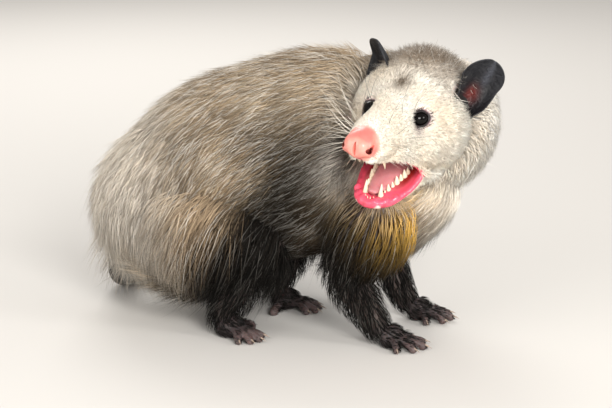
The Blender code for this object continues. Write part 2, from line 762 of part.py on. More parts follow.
# The coat's plan. The lie runs from head to tail and down, and on the legs towards the feet.
TORSO_COAT = [
    (7.1, 8, -60, 240, 60, 18, 3.0, -0.9, 0.3),
    (6.0, 9, -60, 240, 68, 19, 3.2, -0.9, 0.35),
    (4.9, 10, -70, 250, 72, 20, 3.4, -0.9, 0.35),
    (3.8, 10, -80, 260, 74, 20, 3.4, -0.9, 0.40),
    (2.7, 10, -80, 260, 74, 20, 3.4, -0.85, 0.5),
    (1.6, 10, -80, 260, 74, 19, 3.4, -0.7, 0.7),
    (0.6, 9, -90, 270, 66, 17, 3.2, -0.65, 0.85),
]
NECK_COAT = [
    (3.1, 7, -180, 180, 44, 16, 2.6, -0.9, 0.2),
    (2.0, 8, -180, 180, 54, 18, 2.8, -0.9, 0.3),
    (0.8, 8, -180, 180, 62, 19, 3.0, -0.9, 0.35),
]
THIGH_COAT = [
    (3.1, 3, 120, 250, 44, 15, 2.6, -0.25, 0.9),
    (2.0, 4, 115, 260, 54, 16, 2.8, -0.45, 0.9),
    (1.0, 4, 115, 270, 60, 17, 3.0, -0.6, 0.9),
    (0.2, 4, 110, 290, 60, 16, 3.0, -0.75, 0.8),
]
SHANK_COAT = [
    (0.5, 3, 60, 420, 38, 13, 2.2, 0.7, 0.7),
    (1.7, 3, 60, 420, 30, 10, 1.9, 0.8, 0.6),
]
UPPER_ARM_COAT = [
    (0.9, 4, 100, 260, 38, 14, 2.4, 0.4, 0.8),
    (2.0, 4, 100, 260, 32, 12, 2.2, 0.5, 0.8),
]
FOREARM_COAT = [
    (0.5, 3, 60, 420, 30, 11, 1.9, 0.8, 0.5),
    (1.8, 3, 60, 420, 24, 8, 1.7, 0.8, 0.5),
]
FACE_COAT = 8.0
LENGTH_NAMES = {"hindleg": ("thigh", "shank"), "foreleg": ("upper_arm", "forearm")}


def far_side(plan):
    """The same plan for a limb on the animal's other side."""
    return [(u, count, 180 - first, 180 - last, *rest) for u, count, first, last, *rest in plan]


thighs = [LEGS["hindleg_right"][0], LEGS["hindleg_left"][0]]
arms = [LEGS["foreleg_right"][0], LEGS["foreleg_left"][0]]
face_locks = lay_face()
neck_locks = lay_coat(neck_limb, NECK_COAT, [torso_limb])
torso_locks = lay_coat(torso_limb, TORSO_COAT, [neck_limb] + thighs + arms)
leg_locks = {}
for leg_name, (upper, lower) in LEGS.items():
    hind = leg_name.startswith("hind")
    plan = THIGH_COAT if hind else UPPER_ARM_COAT
    if leg_name.endswith("left"):
        plan = far_side(plan)
    leg_locks[leg_name] = (lay_coat(upper, plan, [torso_limb, neck_limb]),
                           lay_coat(lower, SHANK_COAT if hind else FOREARM_COAT, [torso_limb, neck_limb, upper]))


def whole(pieces):
    return combine(pieces[0], pieces[1:], "UNION")


def teeth(rows, root_z, direction, frame):
    made = []
    for x, off, half, length in rows:
        for side in (1, -1):
            root = Vector((x, side * off, root_z - direction * 2.0))
            made.append(spike("tooth", root, root + Vector((0, 0, direction * (length + 2.0))), half, frame, 4))
    return made


# Eyes, and the head with its lids, sockets, mouth and teeth.
for word, side in (("left", 1), ("right", -1)):
    ball("eye_" + word, eye_at(side), (EYE_RADIUS,) * 3, HEAD_FRAME, 12, 7)
    ear("ear_" + word, side)
nose = head_loft("nose", NOSE, HEAD_FRAME, 12, 6)
nostrils = []
for side in (1, -1):
    nostrils.append(ball("nostril", Vector((56.5, side * 6.2, -6.2)), (3.4, 2.2, 1.9), HEAD_FRAME, 6, 4))
    nostrils.append(ball("nostril", Vector((54.2, side * 8.6, -4.9)), (2.6, 1.6, 1.1), HEAD_FRAME, 6, 4))
combine(nose, nostrils, "DIFFERENCE")
keep_largest(nose)

head = whole(head_pieces())
cuts = [head_loft("palate", PALATE, HEAD_FRAME, 10, 8)]
cuts.append(head_loft("nose_seat", NOSE, HEAD_FRAME, 12, 6, PARTING))
combine(head, cuts, "DIFFERENCE")
combine(head, teeth(UPPER_TEETH, -17.5, -1, HEAD_FRAME), "UNION")
cuts = []
for side in (1, -1):
    cuts.append(ball("seat", eye_at(side), (EYE_RADIUS + PARTING,) * 3, HEAD_FRAME, 12, 7))
combine(head, cuts, "DIFFERENCE")
cuts = []
for side in (1, -1):
    outward = Vector((0.60, side * 0.72, 0.33)).normalized()
    turn = outward.to_track_quat("X", "Z").to_matrix().to_4x4()
    frame = HEAD_FRAME @ Matrix.Translation(eye_at(side)) @ turn
    cuts.append(ball("opening", Vector((6.6, 0, 0)), (4.6, 5.6, 4.3), frame, 14, 9))
    cuts.append(ear_place(side, PARTING))
combine(head, cuts, "DIFFERENCE")
keep_largest(head)

# Tongue and lower jaw.
tongue = head_loft("tongue", TONGUE, JAW_FRAME, 8, 7)
jaw = head_loft("lower_jaw", JAW, JAW_FRAME, 14, 8)
combine(jaw, [head_loft("trough", TROUGH, JAW_FRAME, 10, 6)], "DIFFERENCE")
combine(jaw, teeth(LOWER_TEETH, -26.5, 1, JAW_FRAME), "UNION")
combine(jaw, [head_loft("tongue_seat", TONGUE, JAW_FRAME, 8, 7, PARTING)], "DIFFERENCE")
solid_head = whole(head_pieces(PARTING))
mouth = head_loft("mouth", PALATE, HEAD_FRAME, 10, 8, -PARTING)
combine(solid_head, [mouth], "DIFFERENCE")
for body in (tongue, jaw):
    copy = solid_head.copy()
    copy.data = solid_head.data.copy()
    home.objects.link(copy)
    combine(body, [copy], "DIFFERENCE")
    keep_largest(body)

# Neck, torso, tail and legs, each cut where the part before it already is.
bpy.data.objects.remove(solid_head)


def face_shell(grow):
    """All that the head, its open mouth and its ears take up, as one body."""
    pieces = head_pieces(grow)
    pieces.append(head_loft("jaw_place", JAW, JAW_FRAME, 14, 8, grow))
    pieces.append(head_loft("mouth_place", PALATE, HEAD_FRAME, 10, 8, grow))
    pieces.append(head_loft("mouth_place", TROUGH, JAW_FRAME, 10, 6, grow))
    pieces += [ear_place(1, grow), ear_place(-1, grow)]
    return whole(pieces)


neck = whole(neck_pieces())
combine(neck, [face_shell(PARTING)], "DIFFERENCE")
keep_largest(neck)
torso = whole(torso_pieces())
combine(torso, [whole(neck_pieces(PARTING)), face_shell(PARTING),
                tail_piece("tail_seat", 0, TAIL_JOINTS[0], PARTING)], "DIFFERENCE")
keep_largest(torso)
joints = [0.0] + list(TAIL_JOINTS) + [len(TAIL) - 1.0]
for word, start, end in zip(("base", "mid", "end", "tip"), joints, joints[1:]):
    slack = 0.0 if word == "base" else 0.012
    piece = tail_piece("tail_" + word, start + slack, end)
    combine(piece, [below_floor()], "DIFFERENCE")
    keep_largest(piece)
for name in LEGS:
    foot_name = name.replace("leg", "foot")
    foot(foot_name)
    for part in (0, 1):
        piece = whole(leg_pieces(name, part))
        cuts = [whole(torso_pieces(PARTING)), whole(neck_pieces(PARTING)), face_shell(PARTING)]
        if part:
            cuts += [whole(leg_pieces(name, 0, PARTING)), foot(foot_name, PARTING)]
        if name.startswith("hind"):
            cuts.append(tail_piece("tail_seat", 0, len(TAIL) - 1, PARTING))
        for cut in cuts:
            combine(piece, [cut], "DIFFERENCE")
        keep_largest(piece)

# The box of the whole is centred over the origin, and the soles stand at zero.
places = np.array([vertex.co for thing in home.objects for vertex in thing.data.vertices])
low = places.min(axis=0)
high = places.max(axis=0)
shift = Vector((-(low[0] + high[0]) / 2, -(low[1] + high[1]) / 2, -low[2]))
for thing in home.objects:
    thing.data.transform(Matrix.Translation(shift))

COLOURS = {
    "head": ((0.78, 0.74, 0.66), 0.9), "lower_jaw": ((0.80, 0.45, 0.45), 0.6), "tongue": ((0.80, 0.40, 0.42), 0.5),
    "nose": ((0.82, 0.47, 0.42), 0.5), "eye": ((0.01, 0.01, 0.01), 0.1), "ear": ((0.05, 0.05, 0.06), 0.6),
    "neck": ((0.62, 0.56, 0.46), 0.9), "torso": ((0.48, 0.43, 0.37), 0.9), "upper_arm": ((0.07, 0.06, 0.05), 0.9),
    "forearm": ((0.07, 0.06, 0.05), 0.9), "thigh": ((0.10, 0.09, 0.08), 0.9), "shank": ((0.10, 0.09, 0.08), 0.9),
    "forefoot": ((0.10, 0.08, 0.08), 0.7), "hindfoot": ((0.10, 0.08, 0.08), 0.7),
    "tail": ((0.45, 0.38, 0.35), 0.7),
}
for thing in home.objects:
    kind = next(key for key in COLOURS if thing.name.startswith(key))
    dress(thing.name, *COLOURS[kind])
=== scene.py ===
"""A Virginia opossum at life size, at bay: the head is turned back over the shoulder, the mouth open."""
import math

import bmesh
import bpy
import numpy as np
from mathutils import Matrix, Vector


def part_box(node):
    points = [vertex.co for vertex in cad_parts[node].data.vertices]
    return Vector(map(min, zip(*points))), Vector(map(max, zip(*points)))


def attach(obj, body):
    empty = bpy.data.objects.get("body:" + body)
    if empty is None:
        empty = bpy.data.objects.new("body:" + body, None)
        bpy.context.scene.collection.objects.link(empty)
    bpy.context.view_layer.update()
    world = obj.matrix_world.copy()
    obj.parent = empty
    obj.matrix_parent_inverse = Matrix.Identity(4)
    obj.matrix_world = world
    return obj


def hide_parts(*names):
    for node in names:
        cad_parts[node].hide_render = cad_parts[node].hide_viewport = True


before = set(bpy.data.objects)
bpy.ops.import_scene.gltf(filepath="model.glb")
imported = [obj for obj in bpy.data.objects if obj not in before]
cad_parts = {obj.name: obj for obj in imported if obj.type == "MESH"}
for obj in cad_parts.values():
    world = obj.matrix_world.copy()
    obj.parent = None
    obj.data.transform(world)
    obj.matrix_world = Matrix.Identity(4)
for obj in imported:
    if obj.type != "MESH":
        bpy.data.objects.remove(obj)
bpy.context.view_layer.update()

# The floor is pale and plain. Light comes from a soft panel before the animal, weaker ones on the left and
# right and one behind. A lamp is (place, width, power, colour), in metres and watts.
MM = 0.001
FLOOR_WIDTH = 6
FLOOR_COLOUR = (0.66, 0.64, 0.61, 1)
WARM = (1.0, 0.98, 0.95)
LAMPS = {
    "key": ((0.42, -1.42, 0.72), 0.55, 25.5, WARM),
    "fill": ((-1.2, -1.1, 0.7), 1.2, 11, WARM),
    "side": ((1.35, -0.75, 0.65), 0.35, 8, (1.0, 0.99, 0.97)),
    "rim": ((-0.3, 1.3, 1.1), 0.9, 14, WARM),
}
LAMP_AIM = Vector((0, 0, 0.1))
ROOM_COLOUR = (0.93, 0.90, 0.87, 1)
ROOM_STRENGTH = 0.58


def feed(target, inputs):
    """Gives a node's inputs a value each, or the output of another node."""
    for name, value in inputs.items():
        if isinstance(value, bpy.types.NodeSocket):
            target.id_data.links.new(value, target.inputs[name])
        else:
            target.inputs[name].default_value = value


def material(name, inputs):
    """A new material with values on its shader's own sockets, and with them its tree and its shader."""
    made = bpy.data.materials.new(name)
    made.use_nodes = True
    shader = made.node_tree.nodes["Principled BSDF"]
    feed(shader, inputs)
    return made, made.node_tree, shader


bpy.ops.object.select_all(action="DESELECT")
bpy.ops.mesh.primitive_plane_add(size=FLOOR_WIDTH, location=(0, 0, 0))
floor = bpy.context.object
floor.name = "floor"
floor.data.materials.append(material("floor", {"Base Color": FLOOR_COLOUR, "Roughness": 0.85})[0])

for name, (place, width, power, colour) in LAMPS.items():
    bpy.ops.object.light_add(type="AREA", location=place)
    lamp = bpy.context.object
    lamp.name = name
    lamp.data.size = width
    lamp.data.energy = power
    lamp.data.color = colour
    lamp.rotation_euler = (LAMP_AIM - Vector(place)).to_track_quat("-Z", "Y").to_euler()
room = bpy.data.worlds.new("room")
bpy.context.scene.world = room
room.use_nodes = True
room.node_tree.nodes["Background"].inputs["Color"].default_value = ROOM_COLOUR
room.node_tree.nodes["Background"].inputs["Strength"].default_value = ROOM_STRENGTH
bpy.context.scene.view_settings.view_transform = "Standard"

# The animal's own lengths are millimetres from a mark under its belly. The left eye is a point that the frame
# knows, so it tells where that mark is. The camera is a metre and a half away, a little above the back.
HEAD_PLACE = Vector((63.4, -89.5, 174.9))
HEAD_SIZE = 1.035
HEAD_TURNS = ((-119.4, "Z"), (6.3, "Y"), (-9.1, "X"))
EYE_PLACE = Vector((0.0, 17.0, -0.5))
HEAD = Matrix.Translation(HEAD_PLACE)
for angle, axis in HEAD_TURNS:
    HEAD = HEAD @ Matrix.Rotation(math.radians(angle), 4, axis)
HEAD = HEAD @ Matrix.Scale(HEAD_SIZE, 4)
JAW_HINGE = Vector((-32, 0, -18))
JAW_SLIP = Vector((0, 1.8, 0))
JAW_DROP = math.radians(23)
JAW = (HEAD @ Matrix.Translation(JAW_HINGE + JAW_SLIP) @ Matrix.Rotation(JAW_DROP, 4, "Y")
       @ Matrix.Translation(-JAW_HINGE))
eye_low, eye_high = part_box("eye_left")
SHIFT = (eye_low + eye_high) / 2 / MM - HEAD @ EYE_PLACE
SHIFT.z = 0

CAMERA_LIFT = math.radians(14)
CAMERA_AWAY = 1500
CAMERA_AIM = Vector((0, 0, 86.9))
SENSOR_WIDTH = 36
PICTURE_WIDTH = 612
ONE_PIXEL = 0.76
bpy.ops.object.camera_add()
camera = bpy.context.object
back = Vector((0, -math.cos(CAMERA_LIFT), math.sin(CAMERA_LIFT)))
camera.location = (CAMERA_AIM + back * CAMERA_AWAY + SHIFT) * MM
camera.rotation_euler = (math.pi / 2 - CAMERA_LIFT, 0, 0)
camera.data.sensor_width = SENSOR_WIDTH
camera.data.lens = SENSOR_WIDTH * CAMERA_AWAY / ONE_PIXEL / PICTURE_WIDTH
camera.data.clip_start = 0.05
camera.data.clip_end = 20
bpy.context.scene.camera = camera

# The flesh under the coat: trunk, neck and legs, each a tube of ovals along a bent path. An oval is
# (x, y, z, half width, half height, depth of the coat that lies on it).
LIMBS = {
    "torso": [(-124, 31, 66, 10, 12, 24), (-114, 27, 72, 33, 33, 28), (-90, 19, 88, 47, 47, 30),
              (-55, 8, 107, 54, 60, 30), (-15, -5, 119, 54, 63, 29), (25, -17, 127, 49, 61, 33),
              (60, -28, 126, 43, 59, 34), (88, -36, 113, 33, 42, 24), (105, -41, 106, 14, 17, 16)],
    "neck": [(52, -26, 133, 36, 43, 33), (76, -26, 149, 39, 46, 28), (92, -34, 158, 36, 40, 15),
             (92, -50, 167, 34, 36, 13), (83, -64, 172, 27, 31, 10)],
    "thigh_right": [(-103, 0, 78, 23, 30, 24), (-80, -24, 80, 29, 38, 22), (-54, -38, 79, 28, 36, 20),
                    (-30, -47, 74, 18, 25, 14), (-20, -50, 70, 8, 12, 12)],
    "shank_right": [(-30, -47, 76, 15, 18, 14), (-38, -50, 58, 15, 18, 15), (-50, -52, 38, 11, 13, 13),
                    (-60, -53, 21, 9, 9, 5), (-62, -53, 9, 8, 8, 2)],
    "thigh_left": [(-86, 46, 92, 22, 30, 20), (-64, 50, 88, 29, 38, 22), (-34, 48, 82, 28, 36, 20),
                   (-6, 42, 76, 18, 24, 14), (4, 39, 70, 8, 12, 10)],
    "shank_left": [(-4, 40, 76, 15, 18, 12), (-8, 35, 58, 15, 18, 12), (-14, 28, 38, 11, 13, 9),
                   (-21, 21, 21, 9, 9, 4), (-23, 20, 9, 8, 8, 2)],
    "upper_arm_right": [(62, -50, 116, 20, 24, 14), (53, -64, 94, 22, 26, 14), (39, -71, 73, 17, 21, 12),
                        (28, -72, 58, 10, 12, 10)],
    "forearm_right": [(27, -71, 66, 12, 13, 10), (33, -73, 47, 12, 14, 10), (43, -75, 29, 9, 11, 8),
                      (51, -77, 15, 8, 9, 4), (55, -79, 8, 7, 8, 2)],
    "upper_arm_left": [(78, -12, 114, 19, 24, 12), (78, -2, 93, 19, 23, 12), (69, 2, 73, 15, 19, 10),
                       (60, 2, 58, 9, 11, 8)],
    "forearm_left": [(59, 1, 66, 12, 13, 8), (62, -2, 47, 11, 13, 8), (69, -6, 29, 9, 10, 6),
                     (76, -9, 15, 8, 9, 3), (79, -11, 8, 7, 8, 2)],
    # The tail leaves the rump low, drops to the floor and lies curled behind the hind feet.
    "tail": [(-112, 30, 66, 13, 13, 6), (-130, 36, 52, 12.5, 12.5, 3), (-143, 48, 32, 11.5, 11.5, 0),
             (-147, 68, 14, 10.5, 10.5, 0), (-139, 92, 8.5, 9.6, 9.6, 0), (-118, 112, 7.6, 8.7, 8.7, 0),
             (-90, 122, 6.8, 7.9, 7.9, 0), (-62, 118, 5.9, 7.0, 7.0, 0), (-44, 102, 5.0, 6.0, 6.0, 0),
             (-44, 83, 4.0, 5.0, 5.0, 0), (-58, 73, 3.1, 3.9, 3.9, 0), (-71, 76, 2.3, 2.8, 2.8, 0)],
}


def along_rows(rows, u):
    """The rows at places u on a smooth curve through them."""
    rows = np.array(rows, float)
    last = len(rows) - 1
    u = np.atleast_1d(np.asarray(u, float))
    i = np.clip(u.astype(int), 0, last - 1)
    t = (u - i)[:, None]
    a, b, c, d = (rows[np.clip(i + k, 0, last)] for k in (-1, 0, 1, 2))
    return 0.5 * (2 * b + (c - a) * t + (2 * a - 5 * b + 4 * c - d) * t ** 2
                  + (3 * b - a - 3 * c + d) * t ** 3)


def unit(vectors):
    return vectors / np.maximum(np.linalg.norm(vectors, axis=-1, keepdims=True), 1e-9)


def ovals(name, count):
    """Centres, directions along, sideways and upwards, and sizes of evenly spread ovals of a limb."""
    rows = LIMBS[name]
    last = len(rows) - 1
    u = np.linspace(0, last, count)
    here = along_rows(rows, u)
    before = along_rows(rows, np.maximum(u - 0.05, 0))
    after = along_rows(rows, np.minimum(u + 0.05, last))
    along = unit((after - before)[:, :3])
    side = unit(np.cross((0, 0, 1), along))
    rise = np.cross(side, along)
    if rise[count // 2, 2] < 0:
        rise = -rise
    return here[:, :3], along, side, rise, here[:, 3:]


def rings_round(centres, side, rise, wide, high, sides):
    """A ring of points round each centre, of a half width and a half height."""
    angle = np.linspace(0, 2 * math.pi, sides, endpoint=False)
    return (centres[:, None] + side[:, None] * (wide[:, None] * np.cos(angle))[..., None]
            + rise[:, None] * (high[:, None] * np.sin(angle))[..., None])


def linked(name, mesh):
    made = bpy.data.objects.new(name, mesh)
    bpy.context.scene.collection.objects.link(made)
    return made


def tube(name, rings):
    """Rings of points bridged into a closed body, from millimetres to the animal's place."""
    rings = np.asarray(rings)
    count, sides = rings.shape[:2]
    faces = []
    for k in range(count - 1):
        for j in range(sides):
            a = k * sides + j
            b = k * sides + (j + 1) % sides
            faces.append((a, b, b + sides, a + sides))
    faces.append(tuple(range(sides))[::-1])
    faces.append(tuple(range((count - 1) * sides, count * sides)))
    mesh = bpy.data.meshes.new(name)
    mesh.from_pydata((rings.reshape(-1, 3) + np.array(SHIFT)) * MM, [], faces)
    work = bmesh.new()
    work.from_mesh(mesh)
    bmesh.ops.recalc_face_normals(work, faces=work.faces)
    work.to_mesh(mesh)
    work.free()
    return linked(name, mesh)


def limb_body(name, count, sides):
    centre, along, side, rise, size = ovals(name, count)
    return tube(name, rings_round(centre, side, rise, size[:, 0], size[:, 1], sides))


def pick(*bodies):
    """Selects these bodies and nothing else."""
    bpy.ops.object.select_all(action="DESELECT")
    for body in bodies:
        body.select_set(True)
    bpy.context.view_layer.objects.active = bodies[0]


def use_modifiers(body):
    pick(body)
    for modifier in list(body.modifiers):
        bpy.ops.object.modifier_apply(modifier=modifier.name)


def carve(body, tools, operation="DIFFERENCE"):
    """Cuts bodies from, or adds them to, another one."""
    group = bpy.data.collections.new("tools")
    for tool in tools:
        group.objects.link(tool)
    modifier = body.modifiers.new("carve", "BOOLEAN")
    modifier.operation = operation
    modifier.operand_type = "COLLECTION"
    modifier.collection = group
    modifier.solver = "MANIFOLD"
    use_modifiers(body)
    for tool in tools:
        bpy.data.objects.remove(tool)
    bpy.data.collections.remove(group)


def joined(name, bodies):
    pick(*bodies)
    bpy.ops.object.join()
    made = bpy.context.object
    made.name = name
    return made


def melt(name, bodies, grain, smoothing):
    """Melts bodies that run into each other into one skin of the given grain."""
    made = joined(name, bodies)
    modifier = made.modifiers.new("melt", "REMESH")
    modifier.mode = "VOXEL"
    modifier.voxel_size = grain * MM
    modifier = made.modifiers.new("smooth", "SMOOTH")
    modifier.factor = 0.5
    modifier.iterations = smoothing
    use_modifiers(made)
    return made


def press_flat(body, height):
    """Flattens the underside of what lies on the ground."""
    for vertex in body.data.vertices:
        vertex.co.z = max(vertex.co.z, height * MM)


FLESH_GRAIN = 2.4
SOLE_HEIGHT = 0.2
flesh = [limb_body(name, 24, 28) for name in LIMBS if name != "tail"]
skin = melt("skin", flesh, FLESH_GRAIN, 10)
tail = limb_body("tail", 230, 24)
press_flat(tail, SOLE_HEIGHT)

# The head is a skull and muzzle, a pair of whisker pads, the cheeks, the hollow of the mouth, and the jaw
# that hangs open from its hinge. A section is (x, top, widest, bottom, half width), the eyes at nought.
SKULL = [(-64, 12, 2, -8, 8), (-59, 21, 2, -20, 20), (-46, 27, -5, -36, 32), (-30, 28, -10, -45, 38),
         (-16, 24, -13, -46, 38), (-7, 20, -13, -41, 33), (1, 17, -12, -29, 26), (11, 13.5, -11, -23.5, 21),
         (24, 9.5, -10, -20.5, 17.5), (36, 6, -9, -19, 15), (46, 3.5, -8, -18, 12), (51, 1.5, -8, -16, 9.4)]
PALATE = [(-17, -24, -29, -34, 7), (-12, -20, -30, -41, 12), (-2, -18, -34, -50, 15.5),
          (10, -17.5, -34, -56, 15), (24, -16.5, -34, -58, 12), (36, -15.5, -34, -58, 9.6),
          (44, -15.5, -34, -58, 7), (46.5, -17, -34, -56, 4)]
JAW_BONE = [(-30, -22, -30, -42, 18), (-16, -24, -32, -46, 24), (0, -26, -32, -43, 20.5),
            (16, -25, -30.5, -37.5, 17.5), (29, -24, -29, -34, 13.4), (39, -23, -27.5, -31, 9.4),
            (45, -23.5, -26.5, -29, 5)]
TROUGH = [(-14, -8, -22, -34, 12.5), (0, -8, -21, -34, 12.6), (16, -8, -20, -31, 10.8),
          (29, -8, -20, -28, 7.8), (38, -8, -20, -26, 5.4), (41, -8, -19, -24, 3)]
NOSE = [(45, 3.6, -7.5, -15.0, 8.6), (49.5, 3.4, -7.0, -15.4, 10.4), (53.5, 2.2, -6.8, -15.4, 10.6),
        (57, -0.4, -7.0, -14.0, 8.8), (59.2, -3.8, -7.4, -11.6, 5.2)]
# The lips, their folds and the gums are ridges along paths. The edge of the lips runs from the front of the
# upper one back to the corner, and on along the lower one.
UPPER_LIP = [(47, 0, -17), (46, 6, -17.4), (38, 11, -18.4), (25, 14.8, -21), (14, 17.8, -25.2),
             (5, 20.6, -30), (-1, 22.6, -34.5), (-5, 23.4, -39)]
LOWER_LIP = [(-3, 20.6, -26.5), (4, 20.4, -28), (12, 19.3, -29.6), (19, 17.8, -30.2), (26, 15.6, -29.8),
             (33, 13, -29), (38, 9.6, -27.6), (41.5, 5.4, -26.4), (43, 0, -26)]
FLEWS = [(44, 6, -13), (36, 10, -14), (25, 13.2, -16.4), (14, 15.8, -19.8), (5, 18.0, -24), (-1, 19.6, -28.5),
         (-5, 20, -33.5), (-9, 20.4, -40)]
LIP_FOLD = [(2, 17.4, -28.4), (12, 16.2, -29.2), (20, 14.6, -29.2), (27, 12.4, -28.6), (33, 9.8, -27.8)]
UPPER_GUM = [(45, 1.5, -16.5), (43, 5, -16.6), (36, 8.6, -17), (24, 11, -17.8), (12, 13.2, -18.4),
             (0, 14.6, -19), (-6, 15, -19.5)]
LOWER_GUM = [(40.5, 1.5, -27), (38.6, 4, -27), (33.5, 6.0, -27.4), (24, 8.2, -28.4), (12, 10.6, -29.8),
             (0, 12.2, -31), (-6, 13, -31)]
# A ridge is (name, path, radii, the bone it lies on, number of sides).
LIP_RIDGES = [("upper_lip", UPPER_LIP, (1.9, 2.1, 2.2, 2.2, 2.3, 2.4, 2.6, 2.8), HEAD, 10),
              ("flews", FLEWS, (2.5, 3.8, 4.6, 5.2, 5.6, 5.4, 5.0, 4.4), HEAD, 16),
              ("lower_lip", LOWER_LIP, (2.8, 2.7, 2.6, 2.5, 2.5, 2.7, 3.0, 3.2, 3.2), JAW, 14),
              ("lip_fold", LIP_FOLD, (1.2, 1.8, 1.4, 1.9, 1.3), JAW, 10)]
GUM_RIDGES = [("upper_gum", UPPER_GUM, 2.0, HEAD, 10), ("lower_gum", LOWER_GUM, 2.2, JAW, 10)]
# A bulge of the lower lip is (place, radius).
LIP_BULGES = [((36.5, 10.4, -26.6), 3.1), ((30, 14.6, -28), 2.7), ((22.5, 16.8, -29.4), 2.3),
              ((41, 4.6, -25.2), 3.1)]
SIDES = {"left": 1, "right": -1}
LID_RADIUS = 7.5
HEAD_GRAIN = 0.9


def placed(points, place):
    """Points in the head's or the jaw's own frame, as millimetres from the mark."""
    points = np.asarray(points, float)
    turn = np.array(place)
    return points @ turn[:3, :3].T + turn[:3, 3]


def mirrored(points, side):
    return np.array(points) * (1, side, 1)


def path_through(rows, count):
    return along_rows(rows, np.linspace(0, len(rows) - 1, count))


def head_tube(name, rows, place, count, sides):
    x, top, widest, bottom, wide = path_through(rows, count).T
    angle = np.linspace(0, 2 * math.pi, sides, endpoint=False) + math.pi / sides
    high = np.where(np.sin(angle) > 0, (top - widest)[:, None], (widest - bottom)[:, None])
    rings = np.stack([np.repeat(x[:, None], sides, 1), wide[:, None] * np.cos(angle),
                      widest[:, None] + high * np.sin(angle)], -1)
    return tube(name, placed(rings, place))


def cord_of(name, path, radius, place, sides=10):
    """A round ridge along a path in the head's or jaw's frame, its radius one value or several along it."""
    path = path_through(path, 6 * len(path))
    shares = np.linspace(0, 1, np.size(radius))
    radius = np.interp(np.linspace(0, 1, len(path)), shares, np.atleast_1d(radius))
    along = unit(np.gradient(path, axis=0))
    side = unit(np.cross(along, (0, 0, 1)))
    rise = np.cross(side, along)
    return tube(name, placed(rings_round(path, side, rise, radius, radius, sides), place))


def in_scene(place):
    """A place on the animal, from millimetres to the scene."""
    return Matrix.Scale(MM, 4) @ Matrix.Translation(SHIFT) @ place


def mound(name, centre, radii, place, turn=(0, 0, 0), fine=32):
    """An oval body from a primitive sphere, set in the head's or jaw's frame."""
    bpy.ops.object.select_all(action="DESELECT")
    bpy.ops.mesh.primitive_uv_sphere_add(segments=fine, ring_count=fine // 2, radius=1)
    made = bpy.context.object
    made.name = name
    oval = Matrix.Translation(Vector(centre))
    for angle, axis in zip(reversed(turn), "ZYX"):
        oval = oval @ Matrix.Rotation(math.radians(angle), 4, axis)
    oval = oval @ Matrix.Diagonal((*radii, 1))
    made.data.transform(in_scene(place) @ oval)
    return made


skull = head_tube("skull", SKULL, HEAD, 60, 40)
swellings = []
for side in SIDES.values():
    lid_place = (EYE_PLACE.x, side * EYE_PLACE.y, EYE_PLACE.z + 1.2)
    swellings += [mound("whisker_pad", (34, side * 10, -11.5), (14, 6.4, 7.6), HEAD, (0, 4, side * -9)),
                  mound("cheek", (-12, side * 23, -20), (20, 10, 14), HEAD, (0, 12, side * -18)),
                  mound("brow", (-5, side * 13.5, 6), (13, 7, 5.0), HEAD, (0, 0, side * -14)),
                  mound("lid", lid_place, (LID_RADIUS,) * 3, HEAD)]
swellings.append(head_tube("nose", NOSE, HEAD, 20, 28))
for side in SIDES.values():
    swellings += [mound("nose_wing", (54, side * 7.4, -8.4), (4.4, 3.8, 4.6), HEAD),
                  mound("nose_bulb", (56, side * 4.2, -6.6), (4.2, 4.2, 5.6), HEAD)]
carve(skull, swellings, "UNION")
carve(skull, [mound("hollow", (17, 22.5, 6), (14, 6.8, 8.5), HEAD, (0, 8, -16)),
              mound("hollow", (15, -18.5, 5), (16, 10, 8.5), HEAD, (0, 8, 10))])
carve(skull, [head_tube("mouth", PALATE, HEAD, 30, 28)])
jaw = head_tube("jaw", JAW_BONE, JAW, 30, 28)
carve(jaw, [head_tube("trough", TROUGH, JAW, 24, 24)])
gums = []
for side in SIDES.values():
    for name, path, radii, bone, facets in LIP_RIDGES:
        gums.append(cord_of(name, mirrored(path, side), radii, bone, facets))
    for spot, size in LIP_BULGES:
        gums.append(mound("lip_bulge", mirrored(spot, side), (size * 1.3, size, size), JAW, fine=16))
    # A round web of cheek closes the corner between the two lips.
    lower_end = placed(mirrored(LOWER_LIP[:2], side), HEAD.inverted() @ JAW)
    corner = [*mirrored(UPPER_LIP[-2:], side), lower_end[0] + (-0.5, 0, 0.5), lower_end[1]]
    gums.append(cord_of("corner", corner, 2.8, HEAD, 14))
    gums.append(mound("web", (-10, side * 17.5, -36.5), (6.5, 5.5, 12), HEAD, (0, 14, 0)))
    for name, path, radii, bone, facets in GUM_RIDGES:
        gums.append(cord_of(name, mirrored(path, side), radii, bone, facets))
head = melt("head", [skull, jaw] + gums, HEAD_GRAIN, 4)

